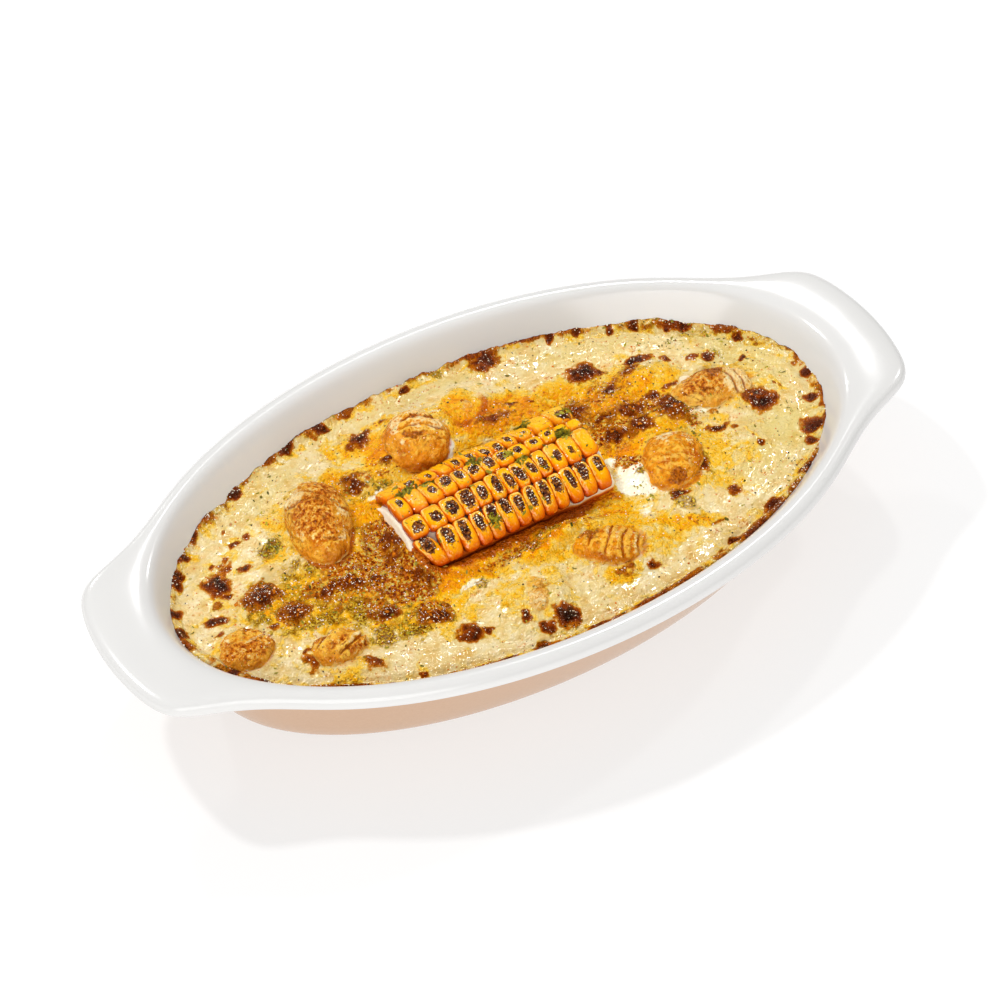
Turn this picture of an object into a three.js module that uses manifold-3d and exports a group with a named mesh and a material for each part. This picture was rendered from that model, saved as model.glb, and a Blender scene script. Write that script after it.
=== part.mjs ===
// Gnocchi baked in corn cream, in an oval gratin dish with two tab handles, and a grilled corn rib on top.
// Millimetres, +Z up. The origin is at the middle of the foot, and the dish's long axis lies along X.
import * as THREE from "three";
import { mergeVertices } from "three/addons/utils/BufferGeometryUtils.js";
import Module from "manifold-3d";

const wasm = await Module();
wasm.setup();

const DEGREE = Math.PI / 180;

// The dish's oval, at the outer edge of its lip
const OVAL_HALF_LENGTH = 110;
const OVAL_HALF_WIDTH = 64;
const RIM_HEIGHT = 40;
const SEGMENTS = 72;

// How far each handle stands out from the oval, where its corner lies along the oval, and how it dies away
const HANDLE_REACH = 12;
const HANDLE_BULGE = 1.8;
const HANDLE_CORNER = 17.5 * DEGREE;
const HANDLE_TAIL = 28 * DEGREE;
const HANDLE_SOFTNESS = 1.5 * DEGREE;
const HANDLE_FALL = 3.2;

// The dish's section, from the middle of its underside, out and up its wall, over the lip and down inside.
// Each ring has its inset from the oval, its height, and its share of the handles' reach.
const FOOT_INSET = 26;
const FLOOR_THICKNESS = 5;
const DISH_SECTION = [
  { inset: OVAL_HALF_WIDTH, height: 1.2, reach: 0 },
  { inset: FOOT_INSET + 6, height: 1.2, reach: 0 },
  { inset: FOOT_INSET + 4.6, height: 0, reach: 0 },
  { inset: FOOT_INSET, height: 0, reach: 0 },
  { inset: 22.6, height: 0.8, reach: 0 },
  { inset: 19.6, height: 2.8, reach: 0 },
  { inset: 17.2, height: 6.6, reach: 0 },
  { inset: 6.2, height: 32.2, reach: 0 },
  { inset: 4.2, height: 33.8, reach: 0.2 },
  { inset: 1.4, height: 34.6, reach: 0.95 },
  { inset: 0, height: 37, reach: 1 },
  { inset: 1.2, height: 39.4, reach: 0.97 },
  { inset: 3.4, height: RIM_HEIGHT, reach: 0.55 },
  { inset: 4.6, height: RIM_HEIGHT - 0.4, reach: 0 },
  { inset: 6.8, height: 37.8, reach: 0 },
  { inset: 10.8, height: 30.6, reach: 0 },
  { inset: 20.4, height: 12.4, reach: 0 },
  { inset: 25, height: 7, reach: 0 },
  { inset: 32, height: FLOOR_THICKNESS, reach: 0 },
  { inset: OVAL_HALF_WIDTH, height: FLOOR_THICKNESS, reach: 0 },
];

// The cream sauce fills the dish to its level and climbs a little at the wall, where it has baked on
const FOOD_GAP = 0.35;
const SAUCE_LEVEL = 29.8;
const SAUCE_CLIMB = 1.5;
const SAUCE_EDGE_INSET = 10.6;
const SAUCE_TOP_RINGS = 8;
const SAUCE_WALL_RINGS = 4;

// Lumps under the cream's skin: place, half sizes and height
const MOUNDS = [
  { x: -73, y: 1, halfLength: 8, halfWidth: 6.5, height: 2.8 },
  { x: -67, y: -8, halfLength: 7, halfWidth: 5.5, height: 2.2 },
  { x: -68, y: 11, halfLength: 9, halfWidth: 5, height: 1.6 },
  { x: -48, y: -7, halfLength: 13, halfWidth: 9, height: 2.2 },
  { x: -42, y: -20, halfLength: 14, halfWidth: 7, height: 1.8 },
  { x: -28, y: -20, halfLength: 9, halfWidth: 5, height: 2.2 },
  { x: 4, y: -21, halfLength: 12, halfWidth: 4, height: 2.4 },
  { x: 10, y: 25, halfLength: 14, halfWidth: 6, height: 2.2 },
  { x: -28, y: 25, halfLength: 10, halfWidth: 7, height: 1.6 },
  { x: 42, y: 12, halfLength: 11, halfWidth: 12, height: 2.6 },
  { x: 55, y: 2, halfLength: 8, halfWidth: 6, height: 1.6 },
  { x: 58, y: 19, halfLength: 9, halfWidth: 6.5, height: 2.8 },
  { x: 42, y: 27, halfLength: 8, halfWidth: 5, height: 1.4 },
  { x: 75, y: 17, halfLength: 5.5, halfWidth: 4.5, height: 2 },
  { x: 66, y: -14, halfLength: 9, halfWidth: 7.5, height: 1.8 },
  { x: 30, y: -30, halfLength: 12, halfWidth: 5, height: 1.4 },
  { x: -62, y: -33, halfLength: 11, halfWidth: 5.5, height: 1.6 },
];

// Gnocchi that show: middle, half length, half width and half height, the long axis's heading from +X,
// the depth of the grooves across the back, the depth of a fold along it, and the browning
const GNOCCHI = [
  { x: -49, y: 16.5, z: 32, size: [15, 8.6, 8.2], heading: 72, grooves: 0.15, fold: 0.5, colour: 0xb8763a },
  { x: -11, y: 29, z: 31.4, size: [10.6, 9, 7.4], heading: 64, grooves: 0.25, fold: 0, colour: 0xda9a40 },
  { x: -86.6, y: -10.6, z: 30, size: [7.6, 7, 4.6], heading: 20, grooves: 0.3, fold: 0, colour: 0xde9e4c },
  { x: -65.2, y: -22.6, z: 28.8, size: [7.8, 6.2, 5.2], heading: 8, grooves: 0, fold: 1.7, colour: 0xe2a54a },
  { x: 14.2, y: -29.2, z: 29, size: [10.2, 7, 6], heading: -28, grooves: 0.4, fold: 0, colour: 0xd99a4a },
  { x: 70.5, y: 5.2, z: 29.4, size: [12.6, 6.8, 6.2], heading: -8, grooves: 0.4, fold: 0, colour: 0xcf9a58 },
  { x: 45.6, y: -12.8, z: 29, size: [11, 8.8, 6.8], heading: 52, grooves: 0.25, fold: 0, colour: 0xd28a2c },
  { x: -11.5, y: -34, z: 27.6, size: [8.4, 6.2, 5.4], heading: 60, grooves: 0, fold: 0, colour: 0xdcb478 },
  { x: 7.4, y: 34.2, z: 28, size: [7.4, 5.6, 4.8], heading: 30, grooves: 0.2, fold: 0, colour: 0xe09a35 },
];
const GNOCCO_ROUND_FACES = 12;
const GNOCCO_LONG_FACES = 12;
const GNOCCO_BLUNTNESS = 0.82;

// The corn rib: four rows of kernels on the pith that they grew from, cut off a cob and lying crest up.
// Angles are measured round the cob, from straight up towards the front.
const COB_RADIUS = 21;
const COB_AXIS_Y = 1.9;
const COB_AXIS_Z = 21.2;
const RIB_LEFT = -32.4;
const RIB_LENGTH = 60;
const RIB_RISE = 1.4 * DEGREE;
const PITH_RADIUS = 17.4;
const PITH_REACH = 52 * DEGREE;
const PITH_CUT = 7.2;
const KERNEL_ROOT = 3;
const KERNEL_SQUARENESS = 0.6;
const KERNEL_FACES = [7, 5];
// Each row's middle, its width, the first kernel's middle from the rib's left end and the pitch
const RIB_ROWS = [
  { angle: 38.5, width: 28, first: 3.6, pitch: 4.5, count: 13 },
  { angle: 11.8, width: 25, first: 2.6, pitch: 4.56, count: 13 },
  { angle: -12.2, width: 22.6, first: 2.4, pitch: 4.72, count: 12 },
  { angle: -36, width: 25, first: 9.6, pitch: 4.4, count: 12 },
];
// The last kernels of the back row stand proud of the others
const PROUD_KERNELS = { row: 3, from: 9, rise: 1 };

// The largest flakes of dried herb, on the cream and on the corn
const FLAKE_SIZE = 1.1;
const FLAKE_THICKNESS = 0.5;
const FLAKES_ON_CREAM = [
  { x: -60, y: 17, turn: 20 },
  { x: -63, y: 19.5, turn: 75 },
  { x: -24.5, y: 22, turn: 10 },
  { x: 35.6, y: -12, turn: 50 },
  { x: 33, y: -17.4, turn: -20 },
  { x: 61, y: -21.6, turn: 35 },
  { x: 84, y: 20, turn: 60 },
  { x: 87.5, y: -9.4, turn: 5 },
  { x: 53.5, y: -35, turn: -40 },
  { x: -43.6, y: 38, turn: 15 },
  { x: -22.4, y: -24, turn: 80 },
  { x: -52, y: -29.4, turn: 30 },
];
const FLAKES_ON_CORN = [
  { along: 52, angle: -4, turn: 30 },
  { along: 46.5, angle: 15, turn: 70 },
  { along: 41.6, angle: -22, turn: 10 },
  { along: 18.5, angle: 48, turn: 55 },
  { along: 12, angle: -16, turn: 25 },
  { along: 7, angle: 3, turn: 80 },
];

const COLOURS = {
  glaze: 0xf1efec,
  cream: 0xefdfae,
  corn: 0xe98a12,
};

// A seeded draw between -1 and 1, so that every build is the same
function makeDraw(seed) {
  let state = seed;
  return () => {
    state = (state * 1664525 + 1013904223) % 4294967296;
    return (state / 4294967296) * 2 - 1;
  };
}

// Closer steps round the two ends, where the handles' corners lie
function ovalAngle(step) {
  const even = (step / SEGMENTS) * 2 * Math.PI;
  return even - 0.24 * Math.sin(2 * even);
}

function handleReach(angle) {
  const fromEnd = Math.abs(Math.atan2(Math.abs(Math.sin(angle)), Math.abs(Math.cos(angle))));
  const swell = HANDLE_BULGE * Math.min(1, fromEnd / HANDLE_CORNER) ** 2;
  const past = HANDLE_SOFTNESS * Math.log1p(Math.exp((fromEnd - HANDLE_CORNER) / HANDLE_SOFTNESS));
  const left = Math.max(0, 1 - past / HANDLE_TAIL);
  return (HANDLE_REACH + swell) * left ** HANDLE_FALL;
}

// A point on the ring that lies inset from the oval, pushed out along the oval's normal for a handle
function ovalPoint(angle, ring) {
  const normal = new THREE.Vector2(Math.cos(angle) / OVAL_HALF_LENGTH, Math.sin(angle) / OVAL_HALF_WIDTH);
  normal.setLength(ring.reach * handleReach(angle));
  const x = (OVAL_HALF_LENGTH - ring.inset) * Math.cos(angle) + normal.x;
  const y = (OVAL_HALF_WIDTH - ring.inset) * Math.sin(angle) + normal.y;
  return new THREE.Vector3(x, y, ring.height);
}

// A lathe whose rings are ovals: place(angle, ring) gives each vertex, and the first and last rings are points
function ovalLathe(rings, place) {
  const section = rings.map((ring, row) => {
    const atAxis = row === 0 || row === rings.length - 1;
    return new THREE.Vector2(atAxis ? 0 : 1, row);
  });
  const geometry = new THREE.LatheGeometry(section, SEGMENTS);
  const position = geometry.getAttribute("position");
  for (let step = 0; step <= SEGMENTS; step++) {
    const angle = ovalAngle(step % SEGMENTS);
    rings.forEach((ring, row) => {
      const atAxis = section[row].x === 0;
      const point = atAxis ? new THREE.Vector3(0, 0, ring.height) : place(angle, ring);
      position.setXYZ(step * rings.length + row, point.x, point.y, point.z);
    });
  }
  return geometry;
}

function toSolid(geometry, matrix = new THREE.Matrix4()) {
  const bare = geometry.clone();
  bare.deleteAttribute("normal");
  bare.deleteAttribute("uv");
  bare.applyMatrix4(matrix);
  const merged = mergeVertices(bare, 1e-4);
  const index = Array.from(merged.index.array);
  const triangles = [];
  for (let i = 0; i < index.length; i += 3) {
    const [a, b, c] = index.slice(i, i + 3);
    if (a !== b && b !== c && c !== a) triangles.push(a, b, c);
  }
  return new wasm.Manifold(
    new wasm.Mesh({
      numProp: 3,
      vertProperties: merged.getAttribute("position").array,
      triVerts: new Uint32Array(triangles),
    }),
  );
}

function toGeometry(solid) {
  const mesh = solid.getMesh();
  const geometry = new THREE.BufferGeometry();
  geometry.setAttribute("position", new THREE.BufferAttribute(mesh.vertProperties, 3));
  geometry.setIndex(new THREE.BufferAttribute(mesh.triVerts, 1));
  geometry.computeVertexNormals();
  return geometry;
}

function largestPiece(solid) {
  const pieces = solid.decompose();
  return pieces.reduce((best, piece) => (piece.volume() > best.volume() ? piece : best));
}

function makeDish() {
  return ovalLathe(DISH_SECTION, ovalPoint);
}

// The cream's top: level, dished a little, climbing at the wall, with its lumps
function sauceTop(x, y) {
  const halfLength = OVAL_HALF_LENGTH - SAUCE_EDGE_INSET;
  const halfWidth = OVAL_HALF_WIDTH - SAUCE_EDGE_INSET;
  const out = Math.hypot(x / halfLength, y / halfWidth);
  const climb = SAUCE_CLIMB * Math.max(0, (out - 0.93) / 0.07) ** 2;
  const waves = 0.25 * Math.sin(x / 7 + 1) * Math.cos(y / 6) + 0.2 * Math.sin(x / 13 - y / 9);
  const lumps = MOUNDS.map((mound) => {
    const far = ((x - mound.x) / mound.halfLength) ** 2 + ((y - mound.y) / mound.halfWidth) ** 2;
    return mound.height * Math.exp(-far * 1.1);
  });
  return SAUCE_LEVEL + climb + waves * (1 - Math.min(1, out) ** 6) + Math.max(...lumps);
}

// The cream follows the dish's inside with a small gap, and its top runs in rings to the middle
function makeSauceBody() {
  const inside = DISH_SECTION.slice(-SAUCE_WALL_RINGS).reverse();
  const wall = inside.map((ring) => ({ ...ring, inset: ring.inset + FOOD_GAP, height: ring.height + FOOD_GAP }));
  const top = [];
  for (let ring = 0; ring < SAUCE_TOP_RINGS; ring++) {
    // Rings are closest at the edge, where the cream climbs
    const across = 1 - (ring / SAUCE_TOP_RINGS) ** 1.5;
    top.push({ inset: SAUCE_EDGE_INSET + FOOD_GAP, height: 0, reach: 0, across });
  }
  const middle = { height: sauceTop(0, 0) };
  return ovalLathe([...wall, ...top, middle], (angle, ring) => {
    const point = ovalPoint(angle, ring);
    if (ring.across) {
      point.multiplyScalar(ring.across);
      point.z = sauceTop(point.x, point.y);
    }
    return point;
  });
}

// A flake is a thin five-sided chip, half sunk in what it lies on
function flakeMatrix(x, y, z, turn) {
  const matrix = new THREE.Matrix4().makeTranslation(x, y, z);
  matrix.multiply(new THREE.Matrix4().makeRotationX(Math.PI / 2));
  matrix.multiply(new THREE.Matrix4().makeRotationY(turn * DEGREE));
  return matrix;
}

function flakeGeometry() {
  return new THREE.CylinderGeometry(FLAKE_SIZE, FLAKE_SIZE * 0.8, FLAKE_THICKNESS * 2, 5);
}

// A gnocco along X: a blunt egg with a flatter belly, grooves across its back and perhaps a fold
function gnoccoGeometry(gnocco, seed, grow) {
  const [halfLength, halfWidth, halfHeight] = gnocco.size;
  const geometry = new THREE.SphereGeometry(1, GNOCCO_ROUND_FACES, GNOCCO_LONG_FACES);
  const position = geometry.getAttribute("position");
  const draw = makeDraw(seed);
  const phases = [draw() * 3, draw() * 3];
  for (let i = 0; i < position.count; i++) {
    const along = -position.getY(i);
    const side = position.getX(i);
    const up = position.getZ(i);
    const round = Math.hypot(side, up);
    const fuller = round > 1e-6 ? round ** GNOCCO_BLUNTNESS / round : 1;
    const back = Math.max(0, up);
    const lumpy = 1 + 0.05 * Math.sin(3 * along + phases[0]) + 0.04 * Math.sin(2.4 * side + 2 * along + phases[1]);
    // Every second ring of faces is a groove
    const ring = Math.acos(THREE.MathUtils.clamp(along, -1, 1)) / Math.PI;
    const groove = gnocco.grooves * Math.cos(ring * GNOCCO_LONG_FACES * Math.PI) * Math.min(1, back * 2);
    const fold = gnocco.fold * Math.exp(-((side / 0.22) ** 2)) * back;
    const x = along * (halfLength + grow) * (1 + 0.03 * Math.sin(2 * up + phases[1]));
    const y = side * fuller * (halfWidth + grow) * lumpy;
    const z = up * fuller * (halfHeight + grow) * lumpy + groove - fold;
    position.setXYZ(i, x, y, z);
  }
  return geometry;
}

function gnoccoMatrix(gnocco) {
  return new THREE.Matrix4().makeRotationZ(gnocco.heading * DEGREE).setPosition(gnocco.x, gnocco.y, gnocco.z);
}

// A kernel stands on the cob's radius: a squared-off bead, narrow along the cob and wide across its row
function kernelGeometry(row) {
  const geometry = new THREE.SphereGeometry(1, ...KERNEL_FACES);
  const position = geometry.getAttribute("position");
  const square = (value) => Math.sign(value) * Math.abs(value) ** KERNEL_SQUARENESS;
  const halfPitch = row.pitch * 0.51;
  const halfWide = (COB_RADIUS * row.width * DEGREE) / 2;
  const halfDeep = (COB_RADIUS - PITH_RADIUS + KERNEL_ROOT) / 2;
  for (let i = 0; i < position.count; i++) {
    const x = square(position.getX(i)) * halfPitch;
    const y = square(position.getZ(i)) * halfWide;
    const z = square(position.getY(i)) * halfDeep - halfDeep;
    position.setXYZ(i, x, -y, z);
  }
  return geometry;
}

// Where a thing stands on the cob: along its length, at an angle from the crest towards the front
function onCob(along, angle, radius) {
  const matrix = new THREE.Matrix4().makeTranslation(along, 0, 0);
  matrix.multiply(new THREE.Matrix4().makeRotationX(angle * DEGREE));
  matrix.multiply(new THREE.Matrix4().makeTranslation(0, 0, radius));
  return matrix;
}

// The pith under the kernels: round on top, with upright cut sides and a flat cut under it
function pithGeometry(radius, grow) {
  const side = radius * Math.sin(PITH_REACH);
  const section = new THREE.Shape();
  section.moveTo(-side, PITH_CUT - grow);
  section.lineTo(side, PITH_CUT - grow);
  section.absarc(0, 0, radius, Math.PI / 2 - PITH_REACH, Math.PI / 2 + PITH_REACH, false);
  section.closePath();
  const geometry = new THREE.ExtrudeGeometry(section, {
    depth: RIB_LENGTH + 2 * grow,
    bevelEnabled: false,
    curveSegments: 8,
  });
  // The section's plane is turned to stand across X
  const across = new THREE.Vector3(0, 1, 0);
  const up = new THREE.Vector3(0, 0, 1);
  const along = new THREE.Vector3(1, 0, 0);
  geometry.applyMatrix4(new THREE.Matrix4().makeBasis(across, up, along));
  geometry.translate(-grow, 0, 0);
  return geometry;
}

function cornSolid() {
  const draw = makeDraw(11);
  let solid = toSolid(pithGeometry(PITH_RADIUS, 0));
  RIB_ROWS.forEach((row, number) => {
    for (let k = 0; k < row.count; k++) {
      const proud = number === PROUD_KERNELS.row && k >= PROUD_KERNELS.from;
      const rise = draw() * 0.35 + (proud ? PROUD_KERNELS.rise : 0);
      const along = row.first + k * row.pitch + draw() * 0.15;
      solid = solid.add(toSolid(kernelGeometry(row), onCob(along, row.angle, COB_RADIUS + rise)));
    }
  });
  return solid;
}

function cornMatrix() {
  const middle = RIB_LENGTH / 2;
  const matrix = new THREE.Matrix4().makeTranslation(RIB_LEFT + middle, COB_AXIS_Y, COB_AXIS_Z);
  matrix.multiply(new THREE.Matrix4().makeRotationY(-RIB_RISE));
  matrix.multiply(new THREE.Matrix4().makeTranslation(-middle, 0, 0));
  return matrix;
}

function makeCorn() {
  let solid = cornSolid();
  for (const flake of FLAKES_ON_CORN) {
    const seat = onCob(flake.along, flake.angle, COB_RADIUS - 0.2);
    solid = solid.add(toSolid(flakeGeometry(), seat.multiply(flakeMatrix(0, 0, 0, flake.turn))));
  }
  return toGeometry(largestPiece(solid));
}

function makeSauce() {
  let solid = toSolid(makeSauceBody());
  for (const flake of FLAKES_ON_CREAM) {
    const seat = flakeMatrix(flake.x, flake.y, sauceTop(flake.x, flake.y), flake.turn);
    solid = solid.add(toSolid(flakeGeometry(), seat));
  }
  const cornPocket = pithGeometry(PITH_RADIUS + FOOD_GAP / Math.sin(PITH_REACH), FOOD_GAP);
  solid = solid.subtract(toSolid(cornPocket, cornMatrix()));
  GNOCCHI.forEach((gnocco, number) => {
    solid = solid.subtract(toSolid(gnoccoGeometry(gnocco, number + 1, FOOD_GAP), gnoccoMatrix(gnocco)));
  });
  return toGeometry(largestPiece(solid));
}

function named(name, geometry, colour, roughness) {
  const material = new THREE.MeshStandardMaterial({ color: colour, roughness, metalness: 0 });
  const mesh = new THREE.Mesh(geometry, material);
  mesh.name = name;
  return mesh;
}

const part = new THREE.Group();
part.add(named("dish", makeDish(), COLOURS.glaze, 0.15));
part.add(named("cream_sauce", makeSauce(), COLOURS.cream, 0.35));

const rib = named("corn_rib", makeCorn(), COLOURS.corn, 0.3);
rib.applyMatrix4(cornMatrix());
part.add(rib);

GNOCCHI.forEach((gnocco, number) => {
  const name = "gnocco_" + String(number + 1).padStart(2, "0");
  const piece = named(name, gnoccoGeometry(gnocco, number + 1, 0), gnocco.colour, 0.5);
  piece.position.set(gnocco.x, gnocco.y, gnocco.z);
  piece.rotation.z = gnocco.heading * DEGREE;
  part.add(piece);
});

export default part;
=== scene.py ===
# %% [markdown]
# # Gnocchi baked in corn cream
#
# An oval gratin dish with two tab handles holds gnocchi under a browned corn cream. A rib of charred corn
# lies on top. The packed CAD model is the frame: it gives every piece its place and size, in metres.

# %% Load the frame
import math

import bmesh
import bpy
import numpy as np
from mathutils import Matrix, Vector


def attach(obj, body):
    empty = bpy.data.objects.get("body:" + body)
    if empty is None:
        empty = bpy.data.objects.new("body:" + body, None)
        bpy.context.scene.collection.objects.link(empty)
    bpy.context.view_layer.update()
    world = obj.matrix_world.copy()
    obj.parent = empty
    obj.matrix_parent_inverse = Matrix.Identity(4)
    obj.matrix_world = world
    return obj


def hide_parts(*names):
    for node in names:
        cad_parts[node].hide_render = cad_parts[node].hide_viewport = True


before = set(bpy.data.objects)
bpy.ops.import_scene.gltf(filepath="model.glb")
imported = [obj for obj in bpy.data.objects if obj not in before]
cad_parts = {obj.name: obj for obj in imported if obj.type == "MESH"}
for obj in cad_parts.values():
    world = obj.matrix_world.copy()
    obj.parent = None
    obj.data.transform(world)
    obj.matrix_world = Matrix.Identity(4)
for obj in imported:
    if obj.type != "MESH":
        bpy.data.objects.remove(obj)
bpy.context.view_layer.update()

MM = 0.001

# %% [markdown]
# ## Camera, floor and light
#
# The dish is seen from above its near left side, from a metre away through a long lens, so that its oval
# keeps its shape. Wet food is read by its glints, and only small lamps give them: a key lamp stands behind
# and to the left, three weaker ones add glints on other slopes, and a wider one in front opens the shadows.
# The white world fills in, but is left out of reflections, where it would veil every colour in grey.

# %% Camera
CAMERA_TARGET = Vector((3.6, 8.8, 20)) * MM
CAMERA_AZIMUTH = math.radians(31.66)
CAMERA_ELEVATION = math.radians(46.97)
CAMERA_DISTANCE = 1.0
LENS = 130.4

camera = bpy.data.objects.new("camera", bpy.data.cameras.new("camera"))
bpy.context.scene.collection.objects.link(camera)
towards_camera = Vector((
    -math.sin(CAMERA_AZIMUTH) * math.cos(CAMERA_ELEVATION),
    -math.cos(CAMERA_AZIMUTH) * math.cos(CAMERA_ELEVATION),
    math.sin(CAMERA_ELEVATION),
))
camera.location = CAMERA_TARGET + towards_camera * CAMERA_DISTANCE
camera.rotation_euler = (-towards_camera).to_track_quat("-Z", "Y").to_euler()
camera.data.lens = LENS
camera.data.sensor_width = 36
camera.data.clip_start = 0.01
bpy.context.scene.camera = camera
bpy.context.scene.view_settings.view_transform = "Standard"
bpy.context.scene.view_settings.look = "Medium High Contrast"
print("camera at", [round(c, 3) for c in camera.location])

# %% Floor, lamps and world
FLOOR_SIZE = 6
WORLD_STRENGTH = 0.42
# Each lamp: its name, the direction it shines from, its distance and width in metres, and its power
LAMPS = [
    ("key lamp", (-0.3, 0.5, 0.85), 2.0, 0.14, 12.5),
    ("sparkle lamp", (0.4, 0.5, 0.78), 2.0, 0.12, 5),
    ("right lamp", (0.75, 0.2, 0.62), 2.0, 0.12, 4),
    ("back lamp", (0.0, 0.85, 0.5), 2.0, 0.12, 4),
    ("front lamp", (-0.5, -0.9, 0.4), 2.4, 2.0, 30),
]

bpy.ops.object.select_all(action="DESELECT")
bpy.ops.mesh.primitive_plane_add(size=FLOOR_SIZE)
floor = bpy.context.object
floor.name = "floor"

for name, towards, distance, width, power in LAMPS:
    lamp = bpy.data.objects.new(name, bpy.data.lights.new(name, "AREA"))
    bpy.context.scene.collection.objects.link(lamp)
    direction = Vector(towards).normalized()
    lamp.location = direction * distance
    lamp.rotation_euler = (-direction).to_track_quat("-Z", "Y").to_euler()
    lamp.data.shape = "DISK"
    lamp.data.size = width
    lamp.data.energy = power

world = bpy.data.worlds.new("world")
bpy.context.scene.world = world
world.use_nodes = True
background = world.node_tree.nodes["Background"]
background.inputs["Color"].default_value = (1, 1, 1, 1)
background.inputs["Strength"].default_value = WORLD_STRENGTH
world.cycles_visibility.glossy = False
print("lamps:", len(LAMPS))

# %% [markdown]
# ## A small language for materials
#
# Shader maths reads best as plain expressions. Field wraps the output of a node, so that adding or
# multiplying two of them adds the Math node. Finish makes a material, and its node method adds any other
# node from its type, its settings and its inputs.


# %% Colours and fields
def srgb(red, green, blue):
    """A colour as the eye reads it, 0 to 255, in the linear values that shaders use."""
    steps = [channel / 255 for channel in (red, green, blue)]
    linear = [s / 12.92 if s <= 0.04045 else ((s + 0.055) / 1.055) ** 2.4 for s in steps]
    return (*linear, 1.0)


class Field:
    """A number that varies over a surface: the output socket of a node."""

    def __init__(self, finish, socket):
        self.finish = finish
        self.socket = socket

    def maths(self, operation, other, clamp=False):
        settings = {"operation": operation, "use_clamp": clamp}
        return self.finish.node("ShaderNodeMath", settings, {0: self, 1: other})

    def __add__(self, other):
        return self.maths("ADD", other)

    def __sub__(self, other):
        return self.maths("SUBTRACT", other)

    def __rsub__(self, other):
        return (self * -1) + other

    def __mul__(self, other):
        return self.maths("MULTIPLY", other)

    __radd__ = __add__
    __rmul__ = __mul__

    def clamped(self):
        """Cut off below 0 and above 1."""
        return self.maths("ADD", 0, clamp=True)

    def between(self, low, high):
        """0 below low, 1 above high and smooth in between."""
        settings = {"interpolation_type": "SMOOTHSTEP"}
        inputs = {"Value": self, "From Min": low, "From Max": high}
        return self.finish.node("ShaderNodeMapRange", settings, inputs)


print("a field can be", [name for name in vars(Field) if not name.startswith("_")])


# %% Finish
class Finish:
    """A procedural material with one Principled shader."""

    def __init__(self, name, **uniform):
        self.material = bpy.data.materials.new(name)
        self.material.use_nodes = True
        self.tree = self.material.node_tree
        self.shader = self.tree.nodes["Principled BSDF"]
        for socket, value in uniform.items():
            self.shader.inputs[socket.replace("_", " ")].default_value = value

    def node(self, kind, settings=None, inputs=None, output=0):
        """Adds a node of a type, first its settings, then its inputs, and gives one of its outputs."""
        made = self.tree.nodes.new(kind)
        for setting, value in (settings or {}).items():
            if setting == "stops":
                self.set_stops(made.color_ramp, value)
            else:
                setattr(made, setting, value)
        for place, value in (inputs or {}).items():
            self.feed(made.inputs[place], value)
        return Field(self, made.outputs[output])

    def set_stops(self, ramp, stops):
        """Gives a ramp its stops, each a place from 0 to 1 and a colour."""
        while len(ramp.elements) < len(stops):
            ramp.elements.new(0.5)
        for element, (place, colour) in zip(ramp.elements, stops):
            element.position = place
            element.color = colour

    def feed(self, socket, value):
        """Links a field to a socket, or sets the socket to a plain value."""
        if isinstance(value, Field):
            self.tree.links.new(value.socket, socket)
        else:
            socket.default_value = value

    def place(self):
        """Object coordinates, in metres."""
        return self.node("ShaderNodeTexCoord", output="Object")

    def noise(self, size_mm, detail=2.0, stretch=(1, 1, 1), distortion=0.0, roughness=0.5):
        """Noise from 0 to 1 whose lumps are about size_mm across."""
        scaled = self.node("ShaderNodeVectorMath", {"operation": "MULTIPLY"}, {0: self.place(), 1: stretch})
        inputs = {
            "Vector": scaled,
            "Scale": 1 / (size_mm * MM),
            "Detail": detail,
            "Roughness": roughness,
            "Distortion": distortion,
        }
        return self.node("ShaderNodeTexNoise", None, inputs)

    def attribute(self, name):
        """A number that paint has stored on the piece's points."""
        return self.node("ShaderNodeAttribute", {"attribute_name": name}, output="Fac")

    def ramp(self, field, stops):
        return self.node("ShaderNodeValToRGB", {"stops": stops}, {"Fac": field})

    def mix(self, mask, first, second):
        """The first colour where the mask is 0 and the second where it is 1."""
        return self.node("ShaderNodeMix", {"data_type": "RGBA"}, {0: mask, 6: first, 7: second}, 2)

    def bump(self, height, depth_mm):
        return self.node("ShaderNodeBump", None, {"Height": height, "Distance": depth_mm * MM})

    def set(self, **sockets):
        """Feeds the shader's sockets and gives the material."""
        for socket, value in sockets.items():
            self.feed(self.shader.inputs[socket.replace("_", " ")], value)
        return self.material


def dress(piece, material):
    piece.data.materials.clear()
    piece.data.materials.append(material)


floor_finish = Finish("pale floor", Roughness=0.9, Specular_IOR_Level=0.0, Emission_Strength=0.52)
floor_finish.shader.inputs["Emission Color"].default_value = (1, 1, 1, 1)
floor_tone = floor_finish.mix(floor_finish.noise(40, detail=1), srgb(162, 162, 162), srgb(164, 164, 164))
dress(floor, floor_finish.set(Base_Color=floor_tone))
print("floor finish:", len(floor_finish.tree.nodes), "nodes")

# %% [markdown]
# ## The dish
#
# The real dish is cast stoneware under a thick glaze: an oval bowl whose lip swells into a flat tab at
# each end. It is one closed skin of revolution squeezed into an oval, so it is made as by hand: a circle
# of edges is extruded and resized ring by ring round the section, from the foot up the outside, over the
# lip and down to the floor. The tabs are then pulled out along the oval's normal, and two levels of
# Subdivision Surface round every edge as the glaze does.

# %% Dish sizes
OVAL = np.array([110.0, 64.0])
RIM_HEIGHT = 40.0
RING_POINTS = 120
HANDLE_REACH = 12.0
HANDLE_BULGE = 1.8
HANDLE_CORNER = 17.5
HANDLE_TAIL = 28.0
HANDLE_SOFTNESS = 1.5
HANDLE_FALL = 3.2
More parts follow.
